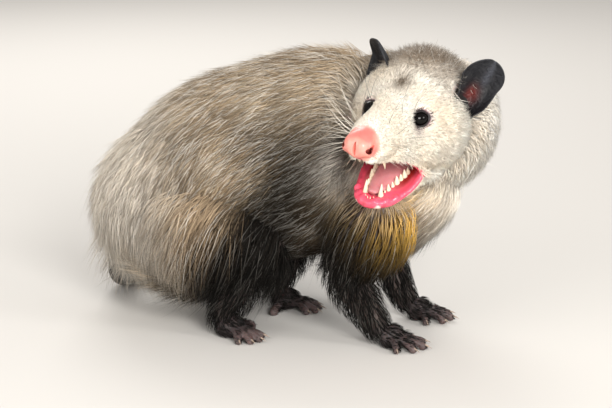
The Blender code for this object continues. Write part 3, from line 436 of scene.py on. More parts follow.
# Eyes sit deep between thick black lids. The comma of each nostril opens outwards, and a groove runs down the
# middle of the nose between them.
EYE_FACING = {1: Vector((0.68, 0.62, 0.38)).normalized(), -1: Vector((0.80, -0.45, 0.28)).normalized()}
EYE_MIDDLE = {1: Vector((0, 17, 0.7)), -1: Vector((2.0, -16.8, -0.8))}
EYE_RADII = (6.6, 7.2, 6.0)
EYE_ROLL = 10
SOCKET_GAP = 0.15
EYE_TURN = {}
hollows = []
for side in SIDES.values():
    turned = EYE_FACING[side].to_track_quat("X", "Z").to_matrix().to_4x4()
    turned = HEAD @ Matrix.Translation(EYE_MIDDLE[side]) @ turned
    EYE_TURN[side] = turned @ Matrix.Rotation(math.radians(side * EYE_ROLL), 4, "X")
    socket_radii = [radius + SOCKET_GAP for radius in EYE_RADII]
    slit_turn = (side * 40, 0, side * 24)
    hollows += [mound("socket", (0, 0, 0), socket_radii, EYE_TURN[side], fine=48),
                mound("opening", (8.0, 0, 0), (6.5, 7.2, 5.0), EYE_TURN[side], fine=48),
                mound("nostril", (54.8, side * 7.6, -7.8), (4.2, 3.0, 2.3), HEAD, (side * -28, 0, side * 44)),
                mound("nostril_slit", (53.8, side * 10.2, -5.6), (3.6, 3.4, 1.15), HEAD, slit_turn)]
hollows.append(mound("groove", (60.4, 0, -10.0), (3.6, 1.2, 8.0), HEAD, (0, -14, 0)))
carve(head, hollows)

# Each foot is a palm and five spread digits that lie flat on the ground, the hind one with a thumb. A foot is
# (centre of the palm, heading, half length, half width, digits); a digit is (turn, length, radius).
FEET = {
    "forefoot_right": ((62, -81, 6), -18, 9, 9.5,
                       [(-62, 11, 2.6), (-30, 15, 2.8), (-4, 17, 2.8), (22, 15, 2.7), (58, 11, 2.5)]),
    "forefoot_left": ((86, -13, 6), -18, 9, 9.5,
                      [(-58, 11, 2.5), (-22, 15, 2.7), (4, 17, 2.8), (30, 15, 2.8), (62, 11, 2.6)]),
    "hindfoot_right": ((-57, -56, 6), -40, 12, 9.5,
                       [(-34, 13, 2.9), (-14, 16, 2.9), (4, 17, 2.9), (22, 15, 2.8), (84, 14, 3.4)]),
    "hindfoot_left": ((-16, 15, 6), -30, 12, 9.5,
                      [(-84, 14, 3.4), (-22, 15, 2.8), (-4, 17, 2.9), (14, 16, 2.9), (34, 13, 2.9)]),
}
# A digit starts inside the palm. Its joints lie at shares of its length, each with its height and thickness.
PALM_SHARE = 0.4
DIGIT_JOINTS = (0.1, 0.4, 0.7, 1)
DIGIT_HEIGHTS = (0.5, 0.8, 0.0, -1.4, -3.0)
DIGIT_SWELLS = (1.2, 1.15, 0.92, 1.0, 0.86)
PAD_SWELLS = (1.15, 1.0, 0.9)
FOOT_GRAIN = 1.0
feet = []
claw_places = []
for name, (centre, heading, long, wide, digits) in FEET.items():
    place = Matrix.Translation(Vector(centre)) @ Matrix.Rotation(math.radians(heading), 4, "Z")
    bodies = [mound("palm", (0, 0, 1.5), (long, wide, 9), place, fine=24)]
    for angle, length, radius in digits:
        out = Vector((math.cos(math.radians(angle)), math.sin(math.radians(angle)), 0))
        edge = Vector((out.x * long, out.y * wide, 0))
        root = Vector((out.x * long * PALM_SHARE, out.y * wide * PALM_SHARE, 0))
        path = [root] + [edge + out * joint * length for joint in DIGIT_JOINTS]
        for point, height in zip(path, DIGIT_HEIGHTS):
            point.z = height
        radii = [radius * swell for swell in DIGIT_SWELLS]
        bodies.append(cord_of("digit", [tuple(point) for point in path], radii, place, 12))
        tip = path[-1]
        pad_place = tip - out * 1.4 + Vector((0, 0, -0.6))
        pad_radii = [radius * swell for swell in PAD_SWELLS]
        bodies.append(mound("pad", pad_place, pad_radii, place, (0, 0, angle), 16))
        tip_place = place @ Matrix.Translation(tip) @ Matrix.Rotation(math.radians(angle), 4, "Z")
        claw_places.append((name, tip_place, radius))
    foot = melt(name, bodies, FOOT_GRAIN, 4)
    press_flat(foot, SOLE_HEIGHT)
    feet.append(foot)
carve(skin, feet + [tail, head], "UNION")
skin.name = "skin"

# The markings are a matter of place: a white face with a dark ring round each eye and a brown smudge on the
# brow, an orange-pink nose, a red mouth, a grizzled body, black legs and a tail that is black at its root.
TINTS = {
    "white": (0.95, 0.90, 0.82), "cream": (0.78, 0.64, 0.46), "grizzle": (0.43, 0.32, 0.205),
    "brown": (0.12, 0.08, 0.045), "tan": (0.38, 0.25, 0.14), "black": (0.008, 0.007, 0.006),
    "yellow": (0.80, 0.48, 0.10), "smoke": (0.26, 0.19, 0.13), "skin": (0.78, 0.52, 0.45),
    "face_skin": (0.84, 0.71, 0.63), "snout": (0.82, 0.46, 0.38), "nose": (0.87, 0.24, 0.19),
    # The near-black red of the nostrils is painted shade in their hollows.
    "nose_tip": (0.86, 0.40, 0.33), "nostril": (0.10, 0.008, 0.006), "lip": (0.80, 0.09, 0.15),
    # The darkest reds of the throat and the cheeks are painted shade deep in the mouth.
    "mouth": (0.60, 0.19, 0.20), "throat_shade_red": (0.25, 0.015, 0.015), "cheek_shade_red": (0.24, 0.016, 0.014),
    # The purplish tints for the skin and the hair round the eyes are a painted shadow.
    "eye_ring": (0.012, 0.008, 0.009), "eye_shadow_skin": (0.24, 0.13, 0.15), "eye_shadow_hair": (0.17, 0.10, 0.11),
    "tail": (0.42, 0.31, 0.27), "foot": (0.05, 0.036, 0.036), "toe": (0.13, 0.085, 0.08),
}
TINTS = {name: np.array(value) for name, value in TINTS.items()}
LIMB_NAMES = [*LIMBS, "head", *FEET]
# Each limb is measured at this many places along it.
PLACES = 48


def mottle(points, size, seed):
    """Soft blotches of about a size, from -1 to 1."""
    draw = np.random.default_rng(seed)
    waves = draw.normal(size=(9, 3)) * 2.2 / size
    shifts = draw.uniform(0, 6.28, 9)
    return np.sin(points @ waves.T + shifts).sum(1) / 4.5


def ramp(value, low, high):
    t = np.clip((value - low) / (high - low), 0, 1)
    return t * t * (3 - 2 * t)


def blend(colours, other, share):
    """Colours with a share of another one, or of a tint by its name, mixed in."""
    other = TINTS[other] if isinstance(other, str) else np.asarray(other)
    return colours + (other - colours) * np.clip(share, 0, 1)[:, None]


def nearest_oval(points, name):
    """How far each point is from a limb's surface, 1 being on it, and which oval is nearest."""
    centre, along, side, rise, size = ovals(name, PLACES)
    best = np.full(len(points), 1e9)
    which = np.zeros(len(points), int)
    for k in range(len(centre)):
        away = points - centre[k]
        measure = np.sqrt((away @ along[k] / 9) ** 2 + (away @ side[k] / size[k, 0]) ** 2
                          + (away @ rise[k] / size[k, 1]) ** 2)
        nearer = measure < best
        best[nearer] = measure[nearer]
        which[nearer] = k
    return best, which


def head_measure(points, slack=0.0, rows=SKULL, place=HEAD):
    """How far each point is from a part of the head or jaw, 1 being on it, and where it is in its frame."""
    local = placed(points, place.inverted())
    stations = np.array(rows, float)
    x = np.clip(local[:, 0], stations[0, 0], stations[-1, 0])
    top, widest, bottom, wide = (np.interp(x, stations[:, 0], stations[:, k]) for k in (1, 2, 3, 4))
    over = local[:, 2] - widest
    high = np.where(over > 0, top - widest, widest - bottom) + slack
    beyond = (local[:, 0] - x) / (4 + slack)
    return np.sqrt((local[:, 1] / (wide + slack)) ** 2 + (over / high) ** 2 + beyond ** 2), local


def near_path(points, path, place):
    """Distance from each point to a path in the head's or jaw's frame, or to its mirror image."""
    both = [placed(path_through(mirrored(path, side), 60), place) for side in SIDES.values()]
    return np.min([np.linalg.norm(points - spot, axis=1) for spot in np.concatenate(both)], axis=0)


def near_spots(points, spots):
    """Distance from each point to the nearest of some spots in the head's frame."""
    return np.min([np.linalg.norm(points - np.array(HEAD @ Vector(spot)), axis=1) for spot in spots], axis=0)


count = len(skin.data.vertices)
points = np.empty(count * 3)
skin.data.vertices.foreach_get("co", points)
points = points.reshape(-1, 3) / MM - np.array(SHIFT)
normals = np.empty(count * 3)
skin.data.vertex_normals.foreach_get("vector", normals)
normals = normals.reshape(-1, 3)
edges = np.empty(len(skin.data.edges) * 2, int)
skin.data.edges.foreach_get("vertices", edges)
edges = edges.reshape(-1, 2)


def soften(values, rounds):
    """Evens out values between neighbouring points of the skin."""
    flat = values.reshape(count, -1) * 1.0
    for _ in range(rounds):
        total = flat.copy()
        for k in range(flat.shape[1]):
            total[:, k] += np.bincount(edges[:, 0], flat[edges[:, 1], k], count)
            total[:, k] += np.bincount(edges[:, 1], flat[edges[:, 0], k], count)
        flat = total / (1 + np.bincount(edges.ravel(), minlength=count))[:, None]
    return flat.reshape(values.shape)


def is_in(*names):
    return np.isin(limb, [LIMB_NAMES.index(name) for name in names])


measures = []
nearest = {}
for name in LIMBS:
    measure, which = nearest_oval(points, name)
    measures.append(measure)
    nearest[name] = which
in_head, in_face = head_measure(points)
measures.append(in_head * 0.97)
for centre, heading, long, wide, digits in FEET.values():
    away = points - np.array(centre)
    measures.append(np.linalg.norm(away / (long + 16, wide + 16, 13), axis=1) + 0.15)
limb = np.argmin(measures, axis=0)
limb[head_measure(points, 3.0, JAW_BONE, JAW)[0] < 1.0] = LIMB_NAMES.index("head")
near_jaw, in_jaw = head_measure(points, 9.0, JAW_BONE, JAW)
limb[(near_jaw < 1.0) & (in_jaw[:, 0] > 2)] = LIMB_NAMES.index("head")

on_torso = is_in("torso")
on_neck = is_in("neck")
on_thighs = is_in("thigh_right", "thigh_left")
on_shanks = is_in("shank_right", "shank_left")
on_forelegs = is_in("upper_arm_right", "forearm_right", "upper_arm_left", "forearm_left")
on_head = is_in("head")
on_feet = is_in(*FEET)
on_tail = is_in("tail")
place_x = points[:, 0]
place_z = points[:, 2]
along_tail = nearest["tail"] / (PLACES - 1)
face_x, face_y, face_z = in_face.T
face_side = np.abs(face_y)

# Which way the coat lies, how deep it is and how long its hairs are, at each point of the skin. It is longest
# on the rump and the thighs, and shortest on the face, the feet and the tail.
HAIR = {"torso": 50, "neck": 34, "thigh": 58, "shank": 20, "upper_arm": 34, "forearm": 17, "tail": 2}
EAR_SPOTS = ((-34, 32, 6), (-34, -32, 6), (-34, -26, 15))
CHIN_HAIR = 4.0
CHIN_DEPTH = 1.0
lie = np.zeros((count, 3))
depth = np.zeros(count)
hair = np.zeros(count)
ruffle = np.ones(count)
for name in LIMBS:
    here = is_in(name)
    centre, along, side, rise, size = ovals(name, PLACES)
    at = nearest[name][here]
    kind = name.replace("_left", "").replace("_right", "")
    depth[here] = size[at, 2]
    hair[here] = HAIR[kind]
    if kind == "torso":
        rump = ramp(-place_x[here], 10, 120)[:, None]
        lie[here] = (-1, 0, 0) * (1 - 0.35 * rump) + np.array((0, 0, -1)) * (0.42 + 1.0 * rump)
        outward = points[here] - centre[at]
        upward = (outward * rise[at]).sum(1) / np.linalg.norm(outward, axis=1)
        hem = ramp(-place_x[here], 85, 125)
        depth[here] *= 0.75 + 0.25 * upward
        depth[here] *= 1 + 0.35 * hem
        hair[here] += 18 * hem
    elif kind == "neck":
        lie[here] = -along[at] + np.array((0, 0, -0.5))
    elif kind in ("thigh", "upper_arm"):
        lie[here] = (-0.42, 0, -1)
    elif kind in ("shank", "forearm"):
        lie[here] = along[at] + np.array((-0.15, 0, 0))
    else:
        tail_root = ramp(-along_tail[here], -0.17, -0.03)
        lie[here] = along[at]
        hair[here] += 26 * tail_root
        depth[here] = 9 * tail_root + 0.6
face_lie = np.stack([-np.ones(count), 0.3 * np.sign(face_y) * ramp(face_side, 2, 20),
                     -0.7 + 0.72 * ramp(face_z, -26, 10)], 1)
lie[on_head] = placed(face_lie[on_head], HEAD) - np.array(HEAD_PLACE)
eye_far = near_spots(points, EYE_MIDDLE.values())
ear_far = near_spots(points, EAR_SPOTS)
back_of_face = ramp(-face_x, -40, 62)
crown = ramp(-face_x, 14, 40) * ramp(face_z, 8, 20)
head_hair = 4.4 + 1.8 * ramp(-face_x, -46, -12) + 26 * back_of_face ** 1.7
head_depth = 1.2 + 0.8 * ramp(-face_x, -46, -12) + 12 * back_of_face ** 2
shorter = (0.25 + 0.75 * ramp(eye_far, 7, 19)) * (0.3 + 0.7 * ramp(ear_far, 9, 17))
hair[on_head] = (shorter * (head_hair + (14 - head_hair) * crown))[on_head]
depth[on_head] = (shorter * (head_depth + (10.5 - head_depth) * crown))[on_head]
on_chin = on_head * ramp(face_x, -4, 16) * ramp(-face_z, 24, 34)
hair = hair + (CHIN_HAIR - hair) * on_chin
depth = depth + (CHIN_DEPTH - depth) * on_chin
depth += 4 * on_neck * ramp(place_x, 92, 112) * ramp(place_z, 120, 150)
ruffle[on_neck] = 1.8
ruffle[on_head] = (1 + 1.3 * crown + 0.8 * back_of_face)[on_head]
toes = np.zeros(count)
for name, (centre, heading, long, wide, digits) in FEET.items():
    here = is_in(name)
    lie[here] = (math.cos(math.radians(heading)), math.sin(math.radians(heading)), -0.2)
    away = np.linalg.norm(points - np.array(centre), axis=1)
    hair[here] = 9 - 5.5 * ramp(away[here], 6, 24)
    depth[here] = 2.2 - 1.6 * ramp(away[here], 6, 24)
    toes = np.maximum(toes, here * ramp(away, 14, 24))
lie = soften(unit(lie), 26)
lie = unit(lie - normals * (lie * normals).sum(1)[:, None])
depth = soften(depth, 14)
hair = soften(hair, 14)
ruffle = soften(ruffle, 14)

# The coat's colours on the body: cream and brown blotches, a back that is darker down the middle, a whiter
# rump, and a flank that turns brown behind the shoulder, partly brown fur and partly painted shade under the
# turned head and in the crease behind the shoulder.
patches = mottle(points * (1, 1, 0.6), 34, 3)
# Painted shade: the flank behind the shoulder and under the turned head is darkened over its brown fur.
flank_brown_and_shade = ramp(place_x, -34, 20) * ramp(-place_z, -180, -146)
flank_brown_and_shade = flank_brown_and_shade * (0.9 + 0.25 * mottle(points * (0.6, 1, 1), 18, 15))
neck_share = soften(on_neck, 30)
neck_front = ramp(place_x + 8 * mottle(points, 16, 27), 60, 102)
shoulder = on_torso * ramp(place_x, 72, 94) * ramp(place_z, 86, 108)
coat_tint = np.tile(TINTS["grizzle"], (count, 1))
coat_tint = blend(coat_tint, "cream", 0.28 + 0.36 * patches)
coat_tint = blend(coat_tint, "brown", 0.62 * ramp(mottle(points * (0.6, 1, 1), 24, 5), 0.05, 0.75))
coat_tint = blend(coat_tint, "brown", 0.3 * ramp(normals[:, 2], 0.6, 1.0))
coat_tint = blend(coat_tint, "white", 0.6 * ramp(-place_x, 62, 112) * ramp(place_z, 28, 70))
coat_tint = blend(coat_tint, "tan", 0.4 * soften(on_thighs * ramp(place_x, -92, -50), 50))
coat_tint = blend(coat_tint, "brown", on_torso * flank_brown_and_shade)
# Painted shade under the chin: the lower neck between the body and the turned head is darkened brown.
coat_tint = blend(coat_tint, "brown",
                  0.9 * neck_share * ramp(-place_x, -84, -56) * ramp(-place_z, -190, -160))
coat_tint = blend(coat_tint, "white", 0.97 * ramp(neck_share, 0, 0.8) * neck_front)
coat_tint = blend(coat_tint, "white", 0.7 * shoulder)
coat_tint = soften(coat_tint, 16)

# The thigh is black below a slanting line, and so are the chest, the belly and all four legs.
line = place_z - (133 + 0.72 * (place_x + 12)) + 5 * mottle(points, 20, 6)
dark = np.maximum.reduce([on_thighs * ramp(-line, -8, 10) * ramp(place_x, -90, -70),
                          on_torso * ramp(-line, -4, 14) * ramp(-np.abs(place_x + 24), -50, -32) * 0.95,
                          (on_forelegs | on_shanks) * ramp(-place_z, -128, -104),
                          on_torso * ramp(-place_z, -80, -62) * ramp(place_x, -70, -40) * 0.9,
                          on_torso * ramp(place_x, 10, 45) * ramp(-place_z, -146, -112) * 0.9,
                          # The same painted shade behind the shoulder is taken further towards black.
                          on_torso * 0.85 * flank_brown_and_shade])
dark *= 1 - 0.9 * shoulder
dark = soften(np.maximum(dark, on_feet), 16)
coat_tint = blend(coat_tint, "black", dark)
skin_tint = np.tile(TINTS["skin"] * 0.75, (count, 1))
skin_tint = blend(skin_tint, TINTS["black"] * 2, dark * 0.9)

# The face is white, smoky on the crown, with a brown smudge between the eyes. The ruff under the cheek is
# white and the throat yellow.
smudge = np.exp(-((face_x + 3) / 7) ** 2 - ((face_y + 1) / 5) ** 2) * ramp(face_z, 0, 14)
smoke = ramp(-face_x, 9, 29) * ramp(-face_side, -29, -16) * ramp(face_z, 8, 22)
face_coat = np.tile(TINTS["white"], (count, 1))
face_coat = blend(face_coat, "cream", 0.22 + 0.3 * mottle(points, 22, 8))
face_coat = blend(face_coat, "smoke", (0.86 + 0.14 * mottle(points, 10, 33)) * smoke)
face_coat = blend(face_coat, "brown", 0.95 * smudge)
face_coat = blend(face_coat, "cream", 0.7 * ramp(-face_z, 20, 34))
face_share = soften(on_head, 20)
coat_tint = coat_tint * (1 - face_share[:, None]) + face_coat * face_share[:, None]
ruff = np.exp(-((face_x + 18) / 20) ** 2 - ((face_side - 22) / 14) ** 2 - ((face_z + 41) / 13) ** 2)
throat = placed([(-14, 12, -61)], HEAD)[0]
yellow = np.exp(-(np.linalg.norm((points - throat) / (24, 28, 23), axis=1)) ** 2)
coat_tint = blend(coat_tint, "yellow", 1.1 * (1 - face_share) * yellow)
coat_tint = blend(coat_tint, "white", 1.2 * ruff)
dark = dark * (1 - np.clip(ruff + yellow, 0, 1))

# Bare purplish skin lies round each eye, and it and the hair beside it carry a painted shadow that reaches
# furthest at the eye's front corner. The nose is a pad of damp pink leather, darker in blotches, and its
# nostrils are painted a near-black red as shade in their hollows.
eye_round = np.full(count, 99.0)
for side in SIDES.values():
    away = placed(points, EYE_TURN[side].inverted())
    beside = np.hypot(away[:, 1] / 1.2, away[:, 2])
    eye_round = np.where((away[:, 0] > 0) & (away[:, 0] < 14), np.minimum(eye_round, beside), eye_round)
# Painted shadow: the skin and hair round each eye are darkened purplish, furthest at the front corner.
corner_far = near_spots(points, [(7.5, side * 17.5, -2.5) for side in SIDES.values()])
shadow = np.maximum(1 - ramp(eye_round, 6.0, 7.8), 1 - ramp(corner_far, 3.0, 9.0))
ring = 1 - ramp(eye_round + 0.4 * mottle(points, 5, 9), 5.6, 7.2)
coat_tint = blend(coat_tint, "eye_shadow_hair", 0.75 * on_head * shadow)
coat_tint = blend(coat_tint, "eye_ring", on_head * (1 - ramp(eye_round, 6.0, 7.6)))
pad = ramp(face_x + 0.25 * face_z, 43, 46.5) * on_head * ramp(face_z, -17.5, -14)
nostril_far = np.min([np.linalg.norm(in_face - (54.2, side * 7.8, -7.6), axis=1) for side in SIDES.values()],
                     axis=0)
skin_tint = blend(skin_tint, "face_skin", face_share)
skin_tint = blend(skin_tint, "eye_shadow_skin", shadow)
skin_tint = blend(skin_tint, "eye_ring", ring)
skin_tint = blend(skin_tint, "snout", ramp(face_x, 34, 47) * on_head)
skin_tint = blend(skin_tint, "nose", pad)
skin_tint = blend(skin_tint, TINTS["nose"] * (0.8, 0.6, 0.7),
                  pad * 0.6 * ramp(mottle(points, 9, 21), 0.1, 0.7))
skin_tint = blend(skin_tint, "nose_tip", 0.5 * pad * ramp(face_x, 55, 59))

# The mouth is everything between the lips. It is dull red, painted a darker red as shade deep in the throat
# and in the cheeks, and each lip is a wet, brighter rim, uneven in colour and broader at the chin.
upper_path = path_through(UPPER_LIP, 60)[::-1]
lower_path = path_through(LOWER_LIP, 60)
upper_wide, upper_high = (np.interp(face_x, upper_path[:, 0], upper_path[:, k]) for k in (1, 2))
lower_wide, lower_high = (np.interp(in_jaw[:, 0], lower_path[:, 0], lower_path[:, k]) for k in (1, 2))
jaw_x, jaw_y, jaw_z = in_jaw.T
jaw_side = np.abs(jaw_y)
under_upper = face_z < upper_high + 1.0 + 3.5 * (face_side < upper_wide - 2.5)
over_lower = jaw_z > lower_high - 1.5 - 3 * (jaw_side < lower_wide - 2.5)
within_lips = (under_upper & (face_side < upper_wide + 1.5) & over_lower & (jaw_side < lower_wide + 1.0)
               & (face_x > -22) & (face_x < 45) & (jaw_x < 44))
in_palate = head_measure(points, 0.6, PALATE, HEAD)[0] < 1.04
in_trough = head_measure(points, 0.6, TROUGH, JAW)[0] < 1.04
in_mouth = on_head & (in_palate | in_trough | within_lips)
mouth_share = soften(in_mouth, 2)
upper_out = (face_side - upper_wide) + (face_z - upper_high)
lower_out = (jaw_side - lower_wide) - (jaw_z - lower_high)
upper_far = near_path(points, UPPER_LIP, HEAD)
lower_far = near_path(points, LOWER_LIP, JAW)
chin_lip = 4 * ramp(jaw_x, 20, 34)
upper_rim = (1 - ramp(upper_far, 2.4, 3.6)) * (1 - ramp(upper_out, 0.2, 1.6)) * on_head
lower_rim = (1 - ramp(lower_far - chin_lip, 3.4, 5.4)) * (1 - ramp(lower_out - chin_lip, 2.0, 4.2)) * on_head
lips = np.maximum(upper_rim, lower_rim)
# Painted shade: the mouth is darkened deep in the cheeks behind its corners.
cheek_shade_red = in_mouth * ramp(face_side, 8, 13) * ramp(-face_x, -26, -4)
between = soften(within_lips * on_head, 2)
skin_tint = blend(skin_tint, "mouth", mouth_share)
# Painted shade: the mouth darkens towards the throat.
skin_tint = blend(skin_tint, "throat_shade_red", in_mouth * ramp(-face_x, -14, 8))
# Painted shade: the hollow of each nostril is coloured a near-black red.
skin_tint = blend(skin_tint, "nostril", on_head * (1 - ramp(nostril_far, 2.6, 4.2)) * (face_x < 58.6))
skin_tint = blend(skin_tint, "black", 1 - ramp(ear_far, 10, 13))
skin_tint = blend(skin_tint, TINTS["lip"] * (1, 1.3, 1.1), between * ramp(jaw_z, -32, -29) * 0.6)
skin_tint = blend(skin_tint, "lip", lips)
skin_tint = blend(skin_tint, "cheek_shade_red", soften(cheek_shade_red * (1 - 0.7 * lips), 2))
skin_tint = blend(skin_tint, TINTS["lip"] * 0.5, lips * 0.8 * ramp(mottle(points, 6, 37), 0.0, 0.7))
wet = np.maximum.reduce([mouth_share, lips, pad * 0.75, (1 - ramp(eye_round, 5.0, 6.4)) * 0.8])

# The tail is black at its root and pale beyond it, and scaly as the dark feet are. The toes are paler.
tail_pale = ramp(along_tail + 0.02 * mottle(points, 18, 4), 0.30, 0.37)
black_all_over = np.tile(TINTS["black"], (count, 1))
skin_tint = np.where(on_tail[:, None], blend(black_all_over, "tail", tail_pale), skin_tint)
coat_tint = np.where(on_tail[:, None], blend(black_all_over, "white", tail_pale * 0.4), coat_tint)
skin_tint = blend(skin_tint, "foot", on_feet)
skin_tint = blend(skin_tint, "toe", toes * (0.6 + 0.3 * mottle(points, 9, 12)))
scales = soften(np.maximum(on_tail * ramp(along_tail, 0.02, 0.1), on_feet * 0.6), 3)

# Nothing grows on the nose, the lips, inside the mouth, on the lids, the soles and the tail beyond its root.
bare = np.maximum.reduce([pad, in_mouth, upper_rim, lower_rim,
                          1 - ramp(eye_round, 5.2, 6.2), 1 - ramp(ear_far, 8.5, 11),
                          on_feet * ramp(-place_z, -3, -1.5), on_tail * ramp(along_tail, 0.12, 0.2) * 0.93,
                          on_head * ramp(face_x, 48, 50), on_chin * ramp(jaw_x, 33, 37)])


def keep(mesh, name, values):
    """Stores a value or a colour for each point of a mesh."""
    if values.ndim > 1:
        layer = mesh.attributes.new(name, "FLOAT_COLOR", "POINT")
        layer.data.foreach_set("color", np.hstack([np.clip(values, 0, 1), np.ones((len(values), 1))]).ravel())
    else:
        layer = mesh.attributes.new(name, "FLOAT", "POINT")
        layer.data.foreach_set("value", values)


def smooth(body):
    for face in body.data.polygons:
        face.use_smooth = True


def node(tree, kind, inputs, **properties):
    """The outputs of a new node that is given its properties and inputs."""
    made = tree.nodes.new(kind)
    for name, value in properties.items():
        setattr(made, name, value)
    feed(made, inputs)
    return made.outputs


def group(name, inputs, output):
    """A new node group with named inputs and one output, and its two ends inside."""
    made = bpy.data.node_groups.new(name, "ShaderNodeTree")
    for socket, kind in inputs.items():
        made.interface.new_socket(socket, in_out="INPUT", socket_type=kind)
    made.interface.new_socket(output, in_out="OUTPUT", socket_type="NodeSocketColor")
    return made, made.nodes.new("NodeGroupInput").outputs, made.nodes.new("NodeGroupOutput")


# Two colours in a cloud of patches, for eyes, tongue, teeth, claws and whiskers.
cloudy, given, result = group("cloudy", {
    "Vector": "NodeSocketVector", "Scale": "NodeSocketFloat", "Detail": "NodeSocketFloat",
    "First": "NodeSocketColor", "Second": "NodeSocketColor"}, "Color")
cloud = node(cloudy, "ShaderNodeTexNoise", {key: given[key] for key in ("Vector", "Scale", "Detail")})
mixed = node(cloudy, "ShaderNodeMix", {"Factor": cloud["Fac"], "A": given["First"], "B": given["Second"]},
             data_type="RGBA")
feed(result, {"Color": mixed["Result"]})

# A colour made darker and lighter by a pattern, for the skin and the ears.
uneven, given, result = group("uneven", {
    "Tint": "NodeSocketColor", "Pattern": "NodeSocketFloat", "Darkest": "NodeSocketFloat",
    "Lightest": "NodeSocketFloat"}, "Color")
shade = node(uneven, "ShaderNodeMapRange",
             {"Value": given["Pattern"], "To Min": given["Darkest"], "To Max": given["Lightest"]})
dyed = node(uneven, "ShaderNodeVectorMath", {0: given["Tint"], "Scale": shade["Result"]}, operation="SCALE")
feed(result, {"Color": dyed["Vector"]})


def cloudy_colour(tree, scale, detail, first, second):
    """A piece's colour from the cloud of two colours."""
    where = node(tree, "ShaderNodeTexCoord", {})["Object"]
    inputs = {"Vector": where, "Scale": scale, "Detail": detail, "First": (*first, 1), "Second": (*second, 1)}
    return node(tree, "ShaderNodeGroup", inputs, node_tree=cloudy)["Color"]


# The skin is fine-grained, wet and glossy in the mouth and on the nose, and scaly on the tail and the feet.
# Its colours are those worked out above, with faint clouds in them.
keep(skin.data, "tint", skin_tint)
keep(skin.data, "wet", wet)
keep(skin.data, "scales", scales)
smooth(skin)
hide, tree, surface = material("hide", {"Subsurface Weight": 0.12, "Subsurface Scale": 0.004})
where = node(tree, "ShaderNodeTexCoord", {})["Object"]
tint = node(tree, "ShaderNodeAttribute", {}, attribute_name="tint")["Color"]
wetness = node(tree, "ShaderNodeAttribute", {}, attribute_name="wet")["Fac"]
scaly = node(tree, "ShaderNodeAttribute", {}, attribute_name="scales")["Fac"]
grain = node(tree, "ShaderNodeTexNoise", {"Vector": where, "Scale": 900.0, "Detail": 4.0})["Fac"]
cloud = node(tree, "ShaderNodeTexNoise", {"Vector": where, "Scale": 160.0, "Detail": 5.0})["Fac"]
plates = node(tree, "ShaderNodeTexVoronoi", {"Vector": where, "Scale": 620.0})["Distance"]
colour = node(tree, "ShaderNodeGroup",
              {"Tint": tint, "Pattern": cloud, "Darkest": 0.72, "Lightest": 1.22}, node_tree=uneven)["Color"]
gloss = node(tree, "ShaderNodeMapRange", {"Value": wetness, "To Min": 0.62, "To Max": 0.2})["Result"]
plates = node(tree, "ShaderNodeMath", {0: plates, 1: scaly}, operation="MULTIPLY")["Value"]
lumps = node(tree, "ShaderNodeMath", {0: cloud, 1: wetness, 2: plates}, operation="MULTIPLY_ADD")["Value"]
height = node(tree, "ShaderNodeMath", {0: grain, 1: 0.35, 2: lumps}, operation="MULTIPLY_ADD")["Value"]
bump = node(tree, "ShaderNodeBump", {"Height": height, "Strength": 0.5, "Distance": 0.0006})["Normal"]
feed(surface, {"Base Color": colour, "Roughness": gloss, "Normal": bump})
skin.data.materials.clear()
skin.data.materials.append(hide)
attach(skin, "root")
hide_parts("head", "lower_jaw", "nose", "neck", "torso",
            "tail_base", "tail_mid", "tail_end", "tail_tip",
            *[part + "_" + side for part in ("thigh", "shank", "upper_arm", "forearm", "forefoot", "hindfoot")
              for side in ("left", "right")])

# The eyes are wet black beads with a bulging front. Each sits in its socket, which is cut a hair wider than
# the bead itself.
black_eye, tree, surface = material("eye_black", {"Roughness": 0.03, "Specular IOR Level": 0.15})
feed(surface, {"Base Color": cloudy_colour(tree, 300.0, 2.0, (0.001, 0.001, 0.0012), (0.004, 0.003, 0.003))})
for word, side in SIDES.items():
    eye = mound("wet_eye_" + word, (0, 0, 0), EYE_RADII, EYE_TURN[side], fine=48)
    smooth(eye)
    eye.data.materials.append(black_eye)
    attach(eye, "root")
    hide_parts("eye_" + word)

# The tongue lies in the trough of the jaw. It is pink and wet, broad at the back and pointed in front, with
# fine buds all over.
TONGUE = [(-16, -25, -30, -36, 9), (-6, -22.5, -29, -35, 10.5), (8, -22.5, -27, -32.5, 10),
          (22, -22, -25, -28.5, 7.6), (31, -21, -23.5, -26, 5.4), (36, -20.5, -22, -24, 2.6)]
tongue = head_tube("pink_tongue", TONGUE, JAW, 40, 32)
smooth(tongue)
tongue_flesh, tree, surface = material("tongue_flesh", {"Roughness": 0.28, "Subsurface Weight": 0.2,
                                                       "Subsurface Scale": 0.003})
where = node(tree, "ShaderNodeTexCoord", {})["Object"]
buds = node(tree, "ShaderNodeTexVoronoi", {"Vector": where, "Scale": 900.0})["Distance"]
bump = node(tree, "ShaderNodeBump", {"Height": buds, "Strength": 0.4, "Distance": 0.0004})["Normal"]
feed(surface, {"Base Color": cloudy_colour(tree, 120.0, 4.0, (0.50, 0.17, 0.19), (0.62, 0.28, 0.28)),
               "Normal": bump})
tongue.data.materials.append(tongue_flesh)
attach(tongue, "root")
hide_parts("tongue")

